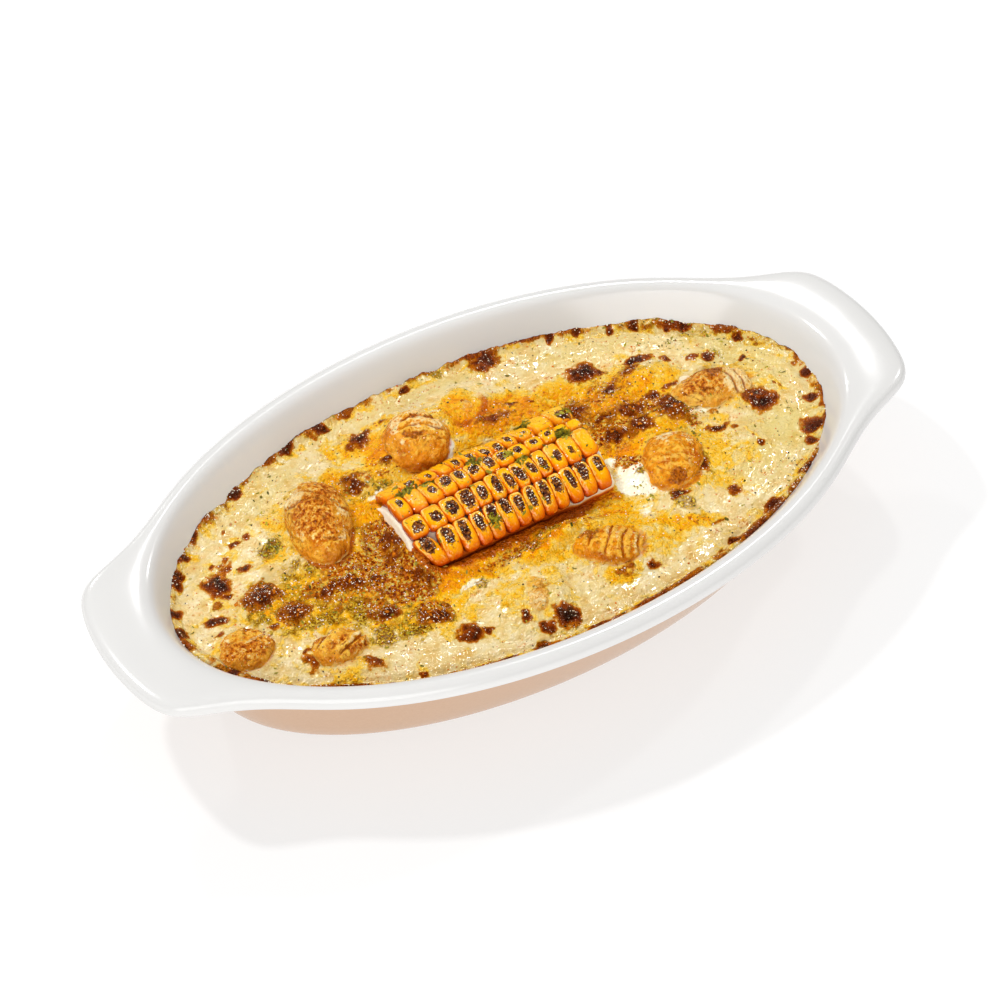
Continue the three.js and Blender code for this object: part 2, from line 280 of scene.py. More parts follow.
# Each ring of the section: its inset from the oval, its height and its share of the handles' reach
DISH_RINGS = [
    (31.8, 1.2, 0),
    (30.9, 0.5, 0),
    (30.2, 0.05, 0),
    (29.6, 0, 0),
    (27, 0, 0),
    (26, 0.05, 0),
    (22.9, 0.75, 0),
    (19.9, 2.6, 0),
    (17.5, 6.1, 0),
    (12, 18.7, 0),
    (7, 30.6, 0),
    (5.6, 33, 0),
    (3.9, 34.1, 0.2),
    (1.9, 34.6, 0.9),
    (0.5, 35.4, 1),
    (0, 37, 1),
    (0.4, 38.6, 1),
    (1.5, 39.6, 0.98),
    (3, RIM_HEIGHT, 0.8),
    (4.4, 39.8, 0.4),
    (5.6, 39.2, 0.1),
    (7, 37.6, 0),
    (10.8, 30.6, 0),
    (20.4, 12.4, 0),
    (25, 7, 0),
    (32, 5, 0),
]


def handle_reach(angle):
    """How far the handle stands out at an angle round the oval, in mm. It is 0 along the sides."""
    from_end = np.degrees(np.arctan2(np.abs(np.sin(angle)), np.abs(np.cos(angle))))
    swell = HANDLE_BULGE * np.minimum(1, from_end / HANDLE_CORNER) ** 2
    past = HANDLE_SOFTNESS * np.log1p(np.exp((from_end - HANDLE_CORNER) / HANDLE_SOFTNESS))
    return (HANDLE_REACH + swell) * np.maximum(0, 1 - past / HANDLE_TAIL) ** HANDLE_FALL


print("handles reach", round(float(handle_reach(0.0)), 1), "mm past the oval at its ends")


# %% Selecting and smoothing
def to_object_mode():
    if bpy.context.object and bpy.context.object.mode != "OBJECT":
        bpy.ops.object.mode_set(mode="OBJECT")


def clear_selection():
    """An operator acts on all that is selected, so each step starts from here."""
    to_object_mode()
    bpy.ops.object.select_all(action="DESELECT")


def select_only(piece):
    clear_selection()
    piece.select_set(True)
    bpy.context.view_layer.objects.active = piece


def face_outwards():
    """Turns the faces of the closed skin in edit mode outwards."""
    bpy.ops.mesh.select_all(action="SELECT")
    bpy.ops.mesh.normals_make_consistent(inside=False)


def finish_object(piece, name):
    """Names the piece, puts its place and scale in its mesh and smooths its shading."""
    select_only(piece)
    bpy.ops.object.transform_apply(location=True, rotation=True, scale=True)
    bpy.ops.object.shade_smooth()
    piece.name = name
    piece.data.name = name
    return piece


selected_before = len(bpy.context.selected_objects)
clear_selection()
print("selected before and after clearing:", selected_before, len(bpy.context.selected_objects))


# %% Points, paint and subdivision
def points_of(piece):
    """The piece's vertices in mm, one row each."""
    flat = np.empty(len(piece.data.vertices) * 3)
    piece.data.vertices.foreach_get("co", flat)
    return flat.reshape(-1, 3) / MM


def surface_of(piece):
    """The piece's points in mm and the directions in which its surface faces there."""
    normals = np.empty(len(piece.data.vertices) * 3)
    piece.data.vertex_normals.foreach_get("vector", normals)
    return points_of(piece), normals.reshape(-1, 3)


def move_points(piece, points):
    piece.data.vertices.foreach_set("co", (points * MM).ravel())
    piece.data.update()


def paint(piece, name, values):
    """Stores a number for each vertex, which a material reads by its name."""
    if name not in piece.data.attributes:
        piece.data.attributes.new(name, "FLOAT", "POINT")
    piece.data.attributes[name].data.foreach_set("value", np.asarray(values, np.float32))


def subdivide(piece, levels):
    modifier = piece.modifiers.new("subdivision", "SUBSURF")
    modifier.levels = levels
    modifier.render_levels = levels
    bpy.context.view_layer.objects.active = piece
    bpy.ops.object.modifier_apply(modifier=modifier.name)


print("points_of gives for the floor an array of", points_of(floor).shape)


# %% A skin of oval rings
def bring_ring(size, height, inset, level):
    """Brings the selected ring to its inset from the oval and to its height, and gives both in metres."""
    wanted = (OVAL - inset) * MM
    bpy.ops.transform.resize(value=(wanted[0] / size[0], wanted[1] / size[1], 1))
    bpy.ops.transform.translate(value=(0, 0, level * MM - height))
    return wanted, level * MM


def extrude_rings(rings, ring_points):
    """A skin of oval rings: the first is a circle resized, and each next one is extruded from the last."""
    clear_selection()
    bpy.ops.mesh.primitive_circle_add(vertices=ring_points, radius=1, location=(0, 0, 0))
    skin = bpy.context.object
    bpy.ops.object.mode_set(mode="EDIT")
    bpy.ops.mesh.select_all(action="SELECT")
    size = np.array([1.0, 1.0])
    height = 0.0
    for number, (inset, level, _) in enumerate(rings):
        if number:
            bpy.ops.mesh.extrude_region_move()
        size, height = bring_ring(size, height, inset, level)
    return skin


def close_ends(skin, first_level, last_level):
    """Fills the two open ends of a skin of rings and turns its faces outwards."""
    for level in (first_level, last_level):
        bpy.ops.mesh.select_all(action="DESELECT")
        mesh = bmesh.from_edit_mesh(skin.data)
        for edge in mesh.edges:
            on_level = abs(edge.verts[0].co.z - level * MM) < 1e-6
            edge.select_set(edge.is_boundary and on_level)
        bmesh.update_edit_mesh(skin.data)
        bpy.ops.mesh.edge_face_add()
    face_outwards()
    to_object_mode()


print("half sizes in mm of the oval that each ring is measured from:", OVAL)


# %% Dish
dish = extrude_rings(DISH_RINGS, RING_POINTS)
close_ends(dish, DISH_RINGS[0][1], DISH_RINGS[-1][1])

# Each point finds its ring again, and is pushed out along the oval's normal by the handles' reach there
points = points_of(dish)
insets, levels, shares = (np.array(column) for column in zip(*DISH_RINGS))
oval_at = np.stack([OVAL[0] - insets, OVAL[1] - insets], axis=1)
off_ring = np.abs((points[:, None, 0] / oval_at[:, 0]) ** 2 + (points[:, None, 1] / oval_at[:, 1]) ** 2 - 1)
ring_of = np.argmin(off_ring * 50 + np.abs(points[:, None, 2] - levels), axis=1)
angle = np.arctan2(points[:, 1] / oval_at[ring_of, 1], points[:, 0] / oval_at[ring_of, 0])
outward = np.stack([np.cos(angle) / OVAL[0], np.sin(angle) / OVAL[1]], axis=1)
outward /= np.linalg.norm(outward, axis=1, keepdims=True)
points[:, :2] += outward * (shares[ring_of] * handle_reach(angle))[:, None]
move_points(dish, points)
subdivide(dish, 2)
finish_object(dish, "glazed_dish")
print("dish:", len(dish.data.polygons), "faces")

# %% [markdown]
# The glaze is a white gloss with a trace of warmth, and the outside of the bowl below the lip is a pale
# sand. The two meet under the lip. A faint long ripple keeps the highlights from being perfect.

# %% Glaze
SAND_BELOW = 35.4
SAND_FADE = 0.8
FOOT_HEIGHT = 4

glaze = Finish("white glaze", IOR=1.5)
sand_mask = glaze.attribute("outside") + (glaze.noise(3, detail=1) - 0.5) * 0.1
white_tone = glaze.mix(glaze.noise(45, detail=1), srgb(216, 215, 213), srgb(221, 220, 218))
sand_tone = glaze.mix(glaze.noise(0.8, detail=2), srgb(188, 151, 119), srgb(196, 161, 130))
ripple = glaze.bump(glaze.noise(14, detail=1), 0.05)
glaze_material = glaze.set(
    Base_Color=glaze.mix(sand_mask.between(0.4, 0.6), white_tone, sand_tone),
    Roughness=glaze.noise(9, detail=1) * 0.08 + 0.12,
    Normal=ripple,
)
# The outside is what faces away from the oval's middle below the lip, and all of the foot
points, facing = surface_of(dish)
turned_out = facing[:, 0] * points[:, 0] / OVAL[0] ** 2 + facing[:, 1] * points[:, 1] / OVAL[1] ** 2 > 0
below_lip = np.clip((SAND_BELOW - points[:, 2]) / SAND_FADE, 0, 1)
outside = np.where(turned_out | (points[:, 2] < FOOT_HEIGHT), below_lip, 0)
paint(dish, "outside", outside)
print("sand share of the dish's points:", round(float(outside.mean()), 2))
dress(dish, glaze_material)
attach(dish, "root")
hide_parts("dish")

# %% [markdown]
# ## Tools for food
#
# Baked food is uneven at every size. Two helpers give that from a seed, so that every run is the same:
# hills is smooth noise over the dish's plan, and patches paints ragged ovals from a short list of places.
# All the numbers are in mm in the dish's own plan, X along the dish and Y away from the front.


# %% Noise and patches
# The lattice of heights repeats, and the shift keeps its row and column numbers above 0
LATTICE = 128
LATTICE_SHIFT = 5 * LATTICE


def smooth(low, high, value):
    """0 at low, 1 at high and an easy slope between them. It falls where high is below low."""
    share = np.clip((value - low) / (high - low), 0, 1)
    return share * share * (3 - 2 * share)


def hills(x, y, size, seed):
    """Smooth noise from -1 to 1 whose hills are about size across."""
    lattice = np.random.default_rng(seed).uniform(-1, 1, (LATTICE, LATTICE))
    turn = 2.4 * seed
    across = (x * math.cos(turn) - y * math.sin(turn)) / size + LATTICE_SHIFT
    along = (x * math.sin(turn) + y * math.cos(turn)) / size + LATTICE_SHIFT
    column = np.floor(across).astype(int)
    row = np.floor(along).astype(int)
    right = smooth(0, 1, across - column)
    up = smooth(0, 1, along - row)

    def along_row(row):
        near = lattice[row % LATTICE, column % LATTICE]
        far = lattice[row % LATTICE, (column + 1) % LATTICE]
        return near * (1 - right) + far * right

    return along_row(row) * (1 - up) + along_row(row + 1) * up


def rough(x, y, size, seed, octaves=3):
    """Hills upon hills: each octave has half the size and a little over half the height."""
    total = np.zeros_like(x)
    for octave in range(octaves):
        total += hills(x, y, size / 2**octave, seed + 17 * octave) * 0.55**octave
    return total


def oval_distance(x, y, oval):
    """1 on the edge of an oval given by its middle, its half sizes and its turn, 0 in its middle."""
    middle_x, middle_y, half_length, half_width, turn = oval[:5]
    cosine, sine = math.cos(math.radians(turn)), math.sin(math.radians(turn))
    dx, dy = x - middle_x, y - middle_y
    return np.hypot((dx * cosine + dy * sine) / half_length, (dy * cosine - dx * sine) / half_width)


def patches(x, y, ovals, softness):
    """The strongest of several ovals at each point. Each one's strength is its last number."""
    strongest = np.zeros_like(x)
    for oval in ovals:
        inside = smooth(1 + softness, 1 - softness, oval_distance(x, y, oval))
        strongest = np.maximum(strongest, oval[5] * inside)
    return strongest


trial = hills(np.arange(-50.0, 50.0), np.zeros(100), 5, 1)
print("hills from", round(float(trial.min()), 2), "to", round(float(trial.max()), 2))


# %% [markdown]
# ## The gnocchi
#
# A gnocco is a thumb of dough rolled over a ridged board, so its back carries a few arched folds, each a
# narrow groove between two swollen lips. No two are alike, so every fold and mark has its own place in the
# list. Nine gnocchi show above the cream. Each starts as a cube that is subdivided and swelled to a ball,
# which has no poles, and is then shaped point by point from its own sizes. The same sizes place it in the
# CAD model.

# %% Gnocchi places and sizes
CREAM_LEVEL = 29.8
# Each gnocco has its middle, half sizes and heading. Taper makes its head wider than its tail, tone goes
# from pale to gold, cling is how far the cream climbs it as a share of its height, and the contact shade how
# dark the line of sauce and painted shadow is in the cream round it, darkest on its side away from the light.
# Its marks lie in the sketch plane: mm to the right and up from its middle, as seen from where the photo was
# taken. A fold runs from one point to another, with the bow of its middle and its depth. Pale, dust, brown
# and deep are ovals with a turn and a strength: pale is paler dough with painted highlights where its lips
# are lit, and deep is painted shade on its lower, shaded flanks, with dark sauce there.
GNOCCHI = {
    "gnocco_01": dict(
        middle=(-49, 16.5, 32), halves=(15, 8.6, 8.2), heading=72, taper=0.04,
        tone=0.8, cling=0.3, stain=1.0,
        folds=[(-9.6, 2.8, -2.5, 7.9, 1, 0.6), (5.1, 6, 10.1, -0.5, 1.2, 0.7),
               (-8.5, -0.5, -2.5, -4.2, -0.8, 0.35), (-6.2, 10.2, 6.2, 6.4, 0.9, 0.4),
               (1.5, -4.3, 6.5, -1.6, -0.5, 0.3)],
        pale=[(-7.1, 7.4, 4.5, 2.3, 55, 0.9), (-2.5, 13.3, 3.4, 1, 15, 0.9), (6.2, 4.4, 2.5, 1.2, -35, 1),
              (6.5, -2, 2, 1.2, 40, 0.7), (-4.8, -2.2, 2.3, 1.1, -30, 0.6)],
        dust=[(-0.6, 8.5, 6.2, 5.7, 0, 0.9), (-1.1, 2.3, 7.9, 5.1, -10, 1), (5.1, 0, 3.4, 2.8, 0, 0.6)],
        brown=[(0.3, 7.1, 3.4, 0.8, -20, 0.5), (4.5, -3.1, 2.3, 0.8, 10, 0.6),
               (2.3, 2.3, 2.5, 0.9, -20, 0.5)],
        deep=[(6.8, -9, 5.1, 3.4, 40, 0.8), (9.4, -2.2, 1.2, 6.2, 5, 0.7), (3.4, -12.2, 6.8, 1.2, 5, 0.9)],
    ),
    "gnocco_02": dict(
        middle=(-11, 29, 31.4), halves=(10.6, 9, 7.4), heading=58, taper=0.16,
        tone=0.9, cling=0.3, stain=0.5,
        folds=[(-6.4, 8.2, 8.5, 7.5, 2.9, 0.45), (-6.4, 6.2, 8.8, 5.9, 2.5, 0.5),
               (-5.8, 4.3, 9.1, 4, 2.1, 0.45), (-4.5, 2, 9.1, 1.7, 1.7, 0.35),
               (-0.6, 11.4, 8.5, 9.8, 0.9, 0.35)],
        pale=[(0.1, 10.8, 7.1, 1.9, -3, 0.9), (-5.8, 6.9, 1.9, 3.9, 0, 0.8),
              (3.3, 6.9, 5.8, 1.9, -8, 0.8), (-3.8, 0.7, 2.6, 0.9, -35, 0.6)],
        dust=[(3.3, 1.7, 3.9, 2.6, 0, 0.4)],
        brown=[(-0.9, 3.6, 3.6, 1, 5, 0.9), (-2.2, 8.3, 2.6, 0.5, 10, 0.9), (2.7, 8.2, 3.2, 0.5, 0, 0.8),
               (5.6, 2.7, 0.6, 0.5, 0, 1), (7.2, 10.1, 1.9, 0.5, -20, 0.5)],
        deep=[(2.7, -5.4, 7.1, 1, 0, 0.8), (9.2, 0.4, 1.2, 4.5, 0, 0.5)],
    ),
    "gnocco_03": dict(
        middle=(-86.6, -10.6, 30), halves=(7, 7.6, 4.6), heading=110, taper=0,
        tone=0.75, cling=0.36, stain=0.3,
        folds=[(-6.5, 3.9, 7.8, 2.3, 3.6, 0.5), (-5.8, 5.5, 7.2, 4.8, 2.5, 0.45),
               (-6.8, 0.8, 8.4, -0.8, 3.7, 0.3), (6.6, 3.6, 10.3, -0.2, 0.4, 0.3)],
        pale=[(-4, 6.3, 4.3, 1.1, 25, 0.8), (2.2, 3.2, 2.5, 0.6, 30, 1), (5.3, 6, 3.1, 0.6, -40, 0.5),
              (-5.2, 2.3, 1.4, 2.5, 20, 0.5)],
        dust=[(0.1, 0.5, 6.8, 3.1, 5, 1), (0.4, 5.9, 6.2, 1.1, 0, 0.6), (6, 2.9, 3.1, 2.5, -40, 0.7)],
        brown=[(0.1, 6.3, 4.3, 0.4, 12, 0.6), (3, 3.6, 3.1, 0.4, 30, 0.5)],
        deep=[(2.2, -3.1, 6.2, 0.7, 5, 0.5)],
    ),
    "gnocco_04": dict(
        middle=(-65.2, -22.6, 28.8), halves=(7.8, 6.2, 5.2), heading=8, taper=-0.06,
        tone=0.6, cling=0.3, stain=0.2,
        folds=[(-6.3, 0.6, 1, 7.3, 0.8, 0.7), (0.1, -0.9, 7.9, 5.4, 0.8, 0.7)],
        pale=[(-2, 5.3, 4, 0.5, 42, 1), (4.6, 4.3, 3.2, 0.5, 40, 1), (1.2, 7.3, 2.7, 0.5, -5, 0.9),
              (-0.4, 0.1, 1.3, 0.8, 45, 0.6)],
        dust=[(-5, 4.6, 3, 1.5, 50, 0.9), (0.1, 3, 4.3, 1.1, 40, 0.9), (5, 1.7, 3.2, 1, 42, 0.9)],
        brown=[(2.8, 1.4, 0.8, 0.6, 0, 1), (1.5, 2.2, 2.1, 0.4, 45, 0.6)],
        deep=[],
    ),
    "gnocco_05": dict(
        middle=(14.2, -29.2, 29), halves=(10.2, 7, 6), heading=-28, taper=0,
        tone=1.0, cling=0.36, stain=0.35,
        folds=[(-2, 7.9, -5.4, 0.6, -0.8, 0.6), (2.1, 7.2, -0.7, -1.9, -0.9, 0.6),
               (5.5, 6.6, 4.3, -2.5, -0.9, 0.6), (9, 5.3, 9.3, -1.7, -0.9, 0.5),
               (11.8, 3.5, 12.4, -0.9, -0.5, 0.35)],
        pale=[(8.4, 6.3, 3.8, 0.6, -20, 0.5), (-0.4, 5, 0.8, 1.9, -15, 0.6),
              (3.3, 4.1, 0.8, 2.5, -12, 0.6), (7.1, 2.2, 0.6, 2.5, -4, 0.6),
              (10.7, 1.6, 0.6, 2.1, 0, 0.5)],
        dust=[(0.2, 4.1, 5.6, 2.5, -10, 0.25)],
        brown=[(-7.3, 5.3, 1.6, 2, 30, 1), (-4.2, 5.3, 2.1, 1.6, 30, 0.75), (-3.6, 1.9, 1.9, 1.5, 0, 0.4)],
        deep=[(2.7, -2.3, 9.4, 0.8, -8, 0.6)],
    ),
    "gnocco_06": dict(
        middle=(70.5, 5.2, 29.4), halves=(12.6, 6.8, 6.2), heading=-8, taper=-0.1,
        tone=0.2, cling=0.4, stain=0.2,
        folds=[(3.1, 6.6, 7.8, -1, 1, 0.55), (5.6, 7.5, 10, 0, 1, 0.55), (8.5, 7.9, 11.9, 1.9, 0.8, 0.5),
               (10.7, 8.2, 13.5, 4.4, 0.6, 0.4)],
        pale=[(7.2, 4.1, 4.4, 3.9, -40, 1)],
        dust=[(-1.4, 3.8, 7.6, 4.1, 5, 1), (12.4, 6, 2, 2, -40, 0.9), (-5.2, 1.2, 3.8, 1.9, 15, 0.8)],
        brown=[(-0.1, 6.3, 3.8, 1.4, -5, 1), (-5.8, -1.1, 5.1, 0.6, -20, 0.5),
               (-1.4, 1.6, 3.2, 0.6, 0, 0.5)],
        deep=[],
    ),
    "gnocco_07": dict(
        middle=(45.6, -12.8, 29), halves=(11, 8.8, 6.8), heading=52, taper=0.14,
        tone=1.0, cling=0.42, stain=0.35,
        folds=[(-6.7, 4.6, 6.9, 5.5, 1.7, 0.26), (-7, 2.6, 7.2, 3.2, 1.7, 0.3),
               (-6.2, 0.4, 7.2, 1, 1.5, 0.3), (-5, -1.9, 6, -1.4, 1.2, 0.26),
               (-5.6, 7.1, 6, 7.7, 1.6, 0.26)],
        pale=[(-1.2, 9.5, 3.5, 1.4, 10, 0.8), (4.3, 8.7, 2.3, 1.7, -30, 0.5)],
        dust=[(0.2, 5.8, 5.2, 3.5, 0, 0.35)],
        brown=[(1.1, -2.3, 2.6, 2.6, -30, 1), (-4.4, 0.6, 2.3, 0.7, -20, 0.5), (6, 0, 1.4, 1.7, 0, 0.4)],
        deep=[(7.9, 3.5, 1, 4.6, 0, 0.5), (-2.7, -5.4, 3.5, 0.8, -30, 0.7)],
    ),
    "gnocco_08": dict(
        middle=(-11.5, -34, 27.6), halves=(8.4, 6.2, 5.4), heading=60, taper=0,
        tone=0.2, cling=0.6, stain=0,
        folds=[(-2.6, 3.4, 4.6, 3, 1, 0.3), (-2, 1.4, 4.6, 0.8, 0.8, 0.25)],
        pale=[(0, 1, 5, 4, 0, 0.7)],
        dust=[(1.6, 4.2, 3.6, 2.2, 15, 0.9), (1, 0.5, 3, 1.4, 0, 0.5)],
        brown=[(2.6, 4.6, 2, 0.7, 20, 0.5)],
        deep=[],
    ),
    "gnocco_09": dict(
        middle=(7.4, 34.2, 28), halves=(7.4, 5.6, 4.8), heading=30, taper=0,
        tone=1.0, cling=0.6, stain=0.5,
        folds=[(-4, 5, 4, 4.4, 0.8, 0.3)],
        pale=[(-3, 5.4, 2, 1.4, 30, 0.6)],
        dust=[(0, 3, 4, 2, 0, 0.3)],
        brown=[(2, 3, 2, 0.8, -10, 0.4)],
        deep=[],
    ),
}
# How blunt the sides of a gnocco are, how wide its folds are, how deep they cut and how far their lips swell,
# and how deep its skin is dented, coarse and fine
GNOCCO_BLUNTNESS = 0.82
FOLD_WIDTH = 0.34
FOLD_CUT = 0.85
LIP_SWELL = 0.55
COARSE_DENTS = 0.34
FINE_DENTS = 0.24
BALL_CUTS = 60
# The two directions of the sketch plane
SIGHT_RIGHT = np.array([math.cos(CAMERA_AZIMUTH), -math.sin(CAMERA_AZIMUTH), 0])
SIGHT_UP = np.array([
    math.sin(CAMERA_AZIMUTH) * math.sin(CAMERA_ELEVATION),
    math.cos(CAMERA_AZIMUTH) * math.sin(CAMERA_ELEVATION),
    math.cos(CAMERA_ELEVATION),
])
print("lengths of the gnocchi in mm:", [2 * spec["halves"][0] for spec in GNOCCHI.values()])


# %% Folds of a gnocco
def folds_at(right, upward, folds):
    """How deep the folds cut at each point of the sketch plane, and how far their lips swell beside them."""
    cut, swell = np.zeros_like(right), np.zeros_like(right)
    for start_x, start_y, end_x, end_y, bow, depth in folds:
        length = math.hypot(end_x - start_x, end_y - start_y)
        run_x, run_y = (end_x - start_x) / length, (end_y - start_y) / length
        along = ((right - start_x) * run_x + (upward - start_y) * run_y) / length
        across = (upward - start_y) * run_x - (right - start_x) * run_y - 4 * bow * along * (1 - along)
        inside = depth * smooth(-0.05, 0.15, along) * smooth(1.05, 0.85, along)
        cut = np.maximum(cut, inside * np.exp(-((across / FOLD_WIDTH) ** 2)))
        swell = np.maximum(swell, inside * np.exp(-(((np.abs(across) - 1) / 0.7) ** 2)))
    return cut, swell


trial_folds = folds_at(np.zeros(1), np.zeros(1), [(-5, 0, 5, 0, 0, 1.0)])
print("at its middle a fold cuts and swells by", [round(float(part[0]), 2) for part in trial_folds])


# %% One gnocco
def make_gnocco(name, number):
    """Models a gnocco from its sizes and paints its marks. Its number seeds its unevenness."""
    spec = GNOCCHI[name]
    halves = spec["halves"]
    clear_selection()
    bpy.ops.mesh.primitive_cube_add(size=2, location=(0, 0, 0))
    ball = bpy.context.object
    bpy.ops.object.mode_set(mode="EDIT")
    bpy.ops.mesh.select_all(action="SELECT")
    bpy.ops.mesh.subdivide(number_cuts=BALL_CUTS)
    bpy.ops.transform.tosphere(value=1)
    to_object_mode()

    # A blunt, slightly wavy egg
    unit = points_of(ball) * MM
    unit /= np.linalg.norm(unit, axis=1, keepdims=True)
    along, side, up = unit.T
    across = np.hypot(side, up)
    fuller = np.maximum(across, 1e-6) ** GNOCCO_BLUNTNESS / np.maximum(across, 1e-6)
    wave = 1 + 0.05 * np.sin(3 * along + number) + 0.04 * np.sin(2.4 * side + 2 * along + 2 * number)
    wave *= 1 + spec["taper"] * along
    x = along * halves[0]
    y = side * fuller * halves[1] * wave + 0.2 * hills(x, up * halves[2], 4, number + 70)
    z = up * fuller * halves[2] * wave

    # Turned to its heading, with folds and dents along its surface's normal
    turn = math.radians(spec["heading"])
    turned = np.array([[math.cos(turn), math.sin(turn), 0], [-math.sin(turn), math.cos(turn), 0], [0, 0, 1]])
    shape = np.stack([x, y, z], axis=1) @ turned
    outward = unit / halves
    outward = outward / np.linalg.norm(outward, axis=1, keepdims=True) @ turned
    right, upward = shape @ SIGHT_RIGHT, shape @ SIGHT_UP
    right = right + 0.3 * hills(shape[:, 0], shape[:, 1], 2.2, number + 20)
    upward = upward + 0.3 * hills(shape[:, 1], shape[:, 0], 2.2, number + 40)
    cut, swell = folds_at(right, upward, spec["folds"])
    dents = COARSE_DENTS * rough(x + z, y - z, 5, number + 30)
    dents += FINE_DENTS * rough(x - z, y + z, 1.8, number + 50)
    relief = (dents - FOLD_CUT * cut + LIP_SWELL * swell) * smooth(-0.3, 0.2, up)
    placed = shape + outward * relief[:, None] + spec["middle"]
    move_points(ball, placed)

    # Its marks, in ragged places
    paint(ball, "groove", np.clip(cut / 0.55, 0, 1))
    paint(ball, "ridge", np.clip(swell / 0.45, 0, 1))
    right = right + 0.8 * rough(shape[:, 0], shape[:, 1], 3, number + 60)
    upward = upward + 0.8 * rough(shape[:, 1], shape[:, 0], 3, number + 80)
    for kind in ("pale", "dust", "brown", "deep"):
        paint(ball, kind, patches(right, upward, spec[kind], 0.75))
    paint(ball, "wet", smooth(4.5, 0.5, placed[:, 2] - CREAM_LEVEL))
    paint(ball, "tone", np.full(len(x), spec["tone"]))
    finish_object(ball, "ridged_" + name)
    return ball


# %% [markdown]
# Baked dough has a golden skin that shines with butter. The lips of its folds are paler, with painted
# highlights where they are lit, its grooves are darkened by painted shade and brown sauce, its crown is
# dusted with spice, and near the cream it is stained and wet, with painted shade on its lower, shaded flanks.
# A painted highlight lightens what stands up in its skin and painted shade darkens what lies low. The marks
# are painted on the points of each gnocco, and noise breaks their edges.

# %% Skin of the dough
dough = Finish("baked dough", Specular_IOR_Level=0.6)
dough_grain = dough.noise(1.3, detail=2) - 0.5
dough_clouds = dough.noise(4.5, detail=2) - 0.5
crumbs = dough.noise(0.75, detail=2, roughness=0.7) - 0.5
pale_dough = dough.mix((dough_clouds + 0.5).between(0.3, 0.7), srgb(248, 200, 92), srgb(234, 158, 34))
gold_dough = dough.mix((dough_clouds + 0.5).between(0.3, 0.7), srgb(246, 164, 4), srgb(208, 112, 0))
skin = dough.mix((dough.attribute("tone") + dough_clouds * 1.2).clamped(), pale_dough, gold_dough)
# Painted highlight on what stands up in the skin, and painted shade, with brown butter, in what lies low
tooth = crumbs * 1.3 + dough_grain * 1.5 + dough_clouds * 0.4
raised_highlight = (tooth + dough.attribute("ridge") * 0.5).between(0.12, 0.4)
skin = dough.mix(raised_highlight * 0.6, skin, srgb(255, 210, 88))
skin = dough.mix((tooth * -1).between(0.1, 0.4) * 0.45, skin, srgb(168, 76, 0))
# The pale lips of the folds: paler dough, with painted highlights where they are lit
pale_lips_and_highlight = (dough.attribute("pale") + tooth * 0.8).between(0.36, 0.8)
pale_tone = dough.mix((tooth + 0.5).clamped(), srgb(240, 178, 72), srgb(255, 240, 190))
skin = dough.mix(pale_lips_and_highlight * 0.95, skin, pale_tone)
print("skin of the dough:", len(dough.tree.nodes), "nodes")

# %% Dust, browning, sauce and painted shade on the dough
sauced = (dough.attribute("wet") + dough_clouds * 0.8).between(0.35, 0.9)
skin = dough.mix(sauced * 0.5, skin, srgb(224, 138, 0))
dust = dough.attribute("dust") - dough.attribute("pale") * 0.6
dusted = (dust + crumbs * 1.1 + dough_clouds).between(0.36, 0.64)
spice = dough.ramp((crumbs * 1.2 + dough_grain * 1.2 + dough_clouds * 0.5 + 0.5).clamped(), [
    (0.2, srgb(140, 54, 0)), (0.38, srgb(200, 102, 4)), (0.54, srgb(234, 152, 40)),
    (0.7, srgb(250, 190, 84)), (0.9, srgb(255, 226, 150)),
])
skin = dough.mix(dusted * 0.92, skin, spice)
browned = (dough.attribute("brown") + dough_grain * 0.9 + dough_clouds * 0.6).between(0.3, 0.62)
browning = dough.mix((crumbs * 1.4 + 0.5).between(0.25, 0.75), srgb(112, 46, 0), srgb(208, 120, 14))
skin = dough.mix(browned * 0.9, skin, browning)
# Painted shade in the grooves, with brown sauce in them
grooved = (dough.attribute("groove") + dough_grain * 0.9).between(0.35, 0.9)
skin = dough.mix(grooved * 0.75, skin, srgb(166, 80, 0))
# Painted shade on the lower, shaded flanks, with dark sauce there
soaked = (dough.attribute("deep") + dough_clouds * 0.5 + dough_grain * 0.4).between(0.15, 0.9)
shade_and_sauce_tone = dough.mix((dough_grain * 1.4 + 0.5).clamped(), srgb(140, 56, 0), srgb(208, 118, 4))
skin = dough.mix(soaked * 0.8, skin, shade_and_sauce_tone)
# Where the cream has lapped up on the dough it has left a golden skin
lapped = (0.8 - dough.attribute("above") + dough_clouds * 3).between(0, 1.2)
lap_tone = dough.mix((dough_grain + 0.5).between(0.35, 0.65), srgb(246, 214, 126), srgb(230, 162, 36))
skin = dough.mix(lapped * 0.8, skin, lap_tone)
print("with its marks:", len(dough.tree.nodes), "nodes")

# %% Dress the gnocchi
dough_relief = dough_grain * 1.2 + crumbs * (dough.attribute("dust") + 0.5) + dough.noise(1.9, detail=1)
dough_material = dough.set(
    Base_Color=skin,
    Roughness=0.14 + dough_grain * 0.06,
    Normal=dough.bump(dough_relief, 0.9),
)

gnocchi = []
for number, name in enumerate(GNOCCHI, start=1):
    gnocco = make_gnocco(name, number)
    dress(gnocco, dough_material)
    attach(gnocco, "root")
    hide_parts(name)
    gnocchi.append(gnocco)
print("gnocchi:", len(gnocchi), "of", len(gnocchi[0].data.polygons), "faces")

# %% [markdown]
# ## The corn cream
#
# The cream fills the bowl to a few millimetres below the lip. Baking has browned it in blisters, dried it
# to a crust where it climbs the wall, and split it into zones: pale cream at the ends, orange butter
# round the corn, a grainy brown skin beside it, and herbs in between. One dense skin carries it all: a
# grid primitive is pulled into the oval, its border is extruded down the wall to the floor of the dish,
# and then the points of the top are raised and painted from the lists below. The crust stands higher on
# the near side, where it shows over the lip.

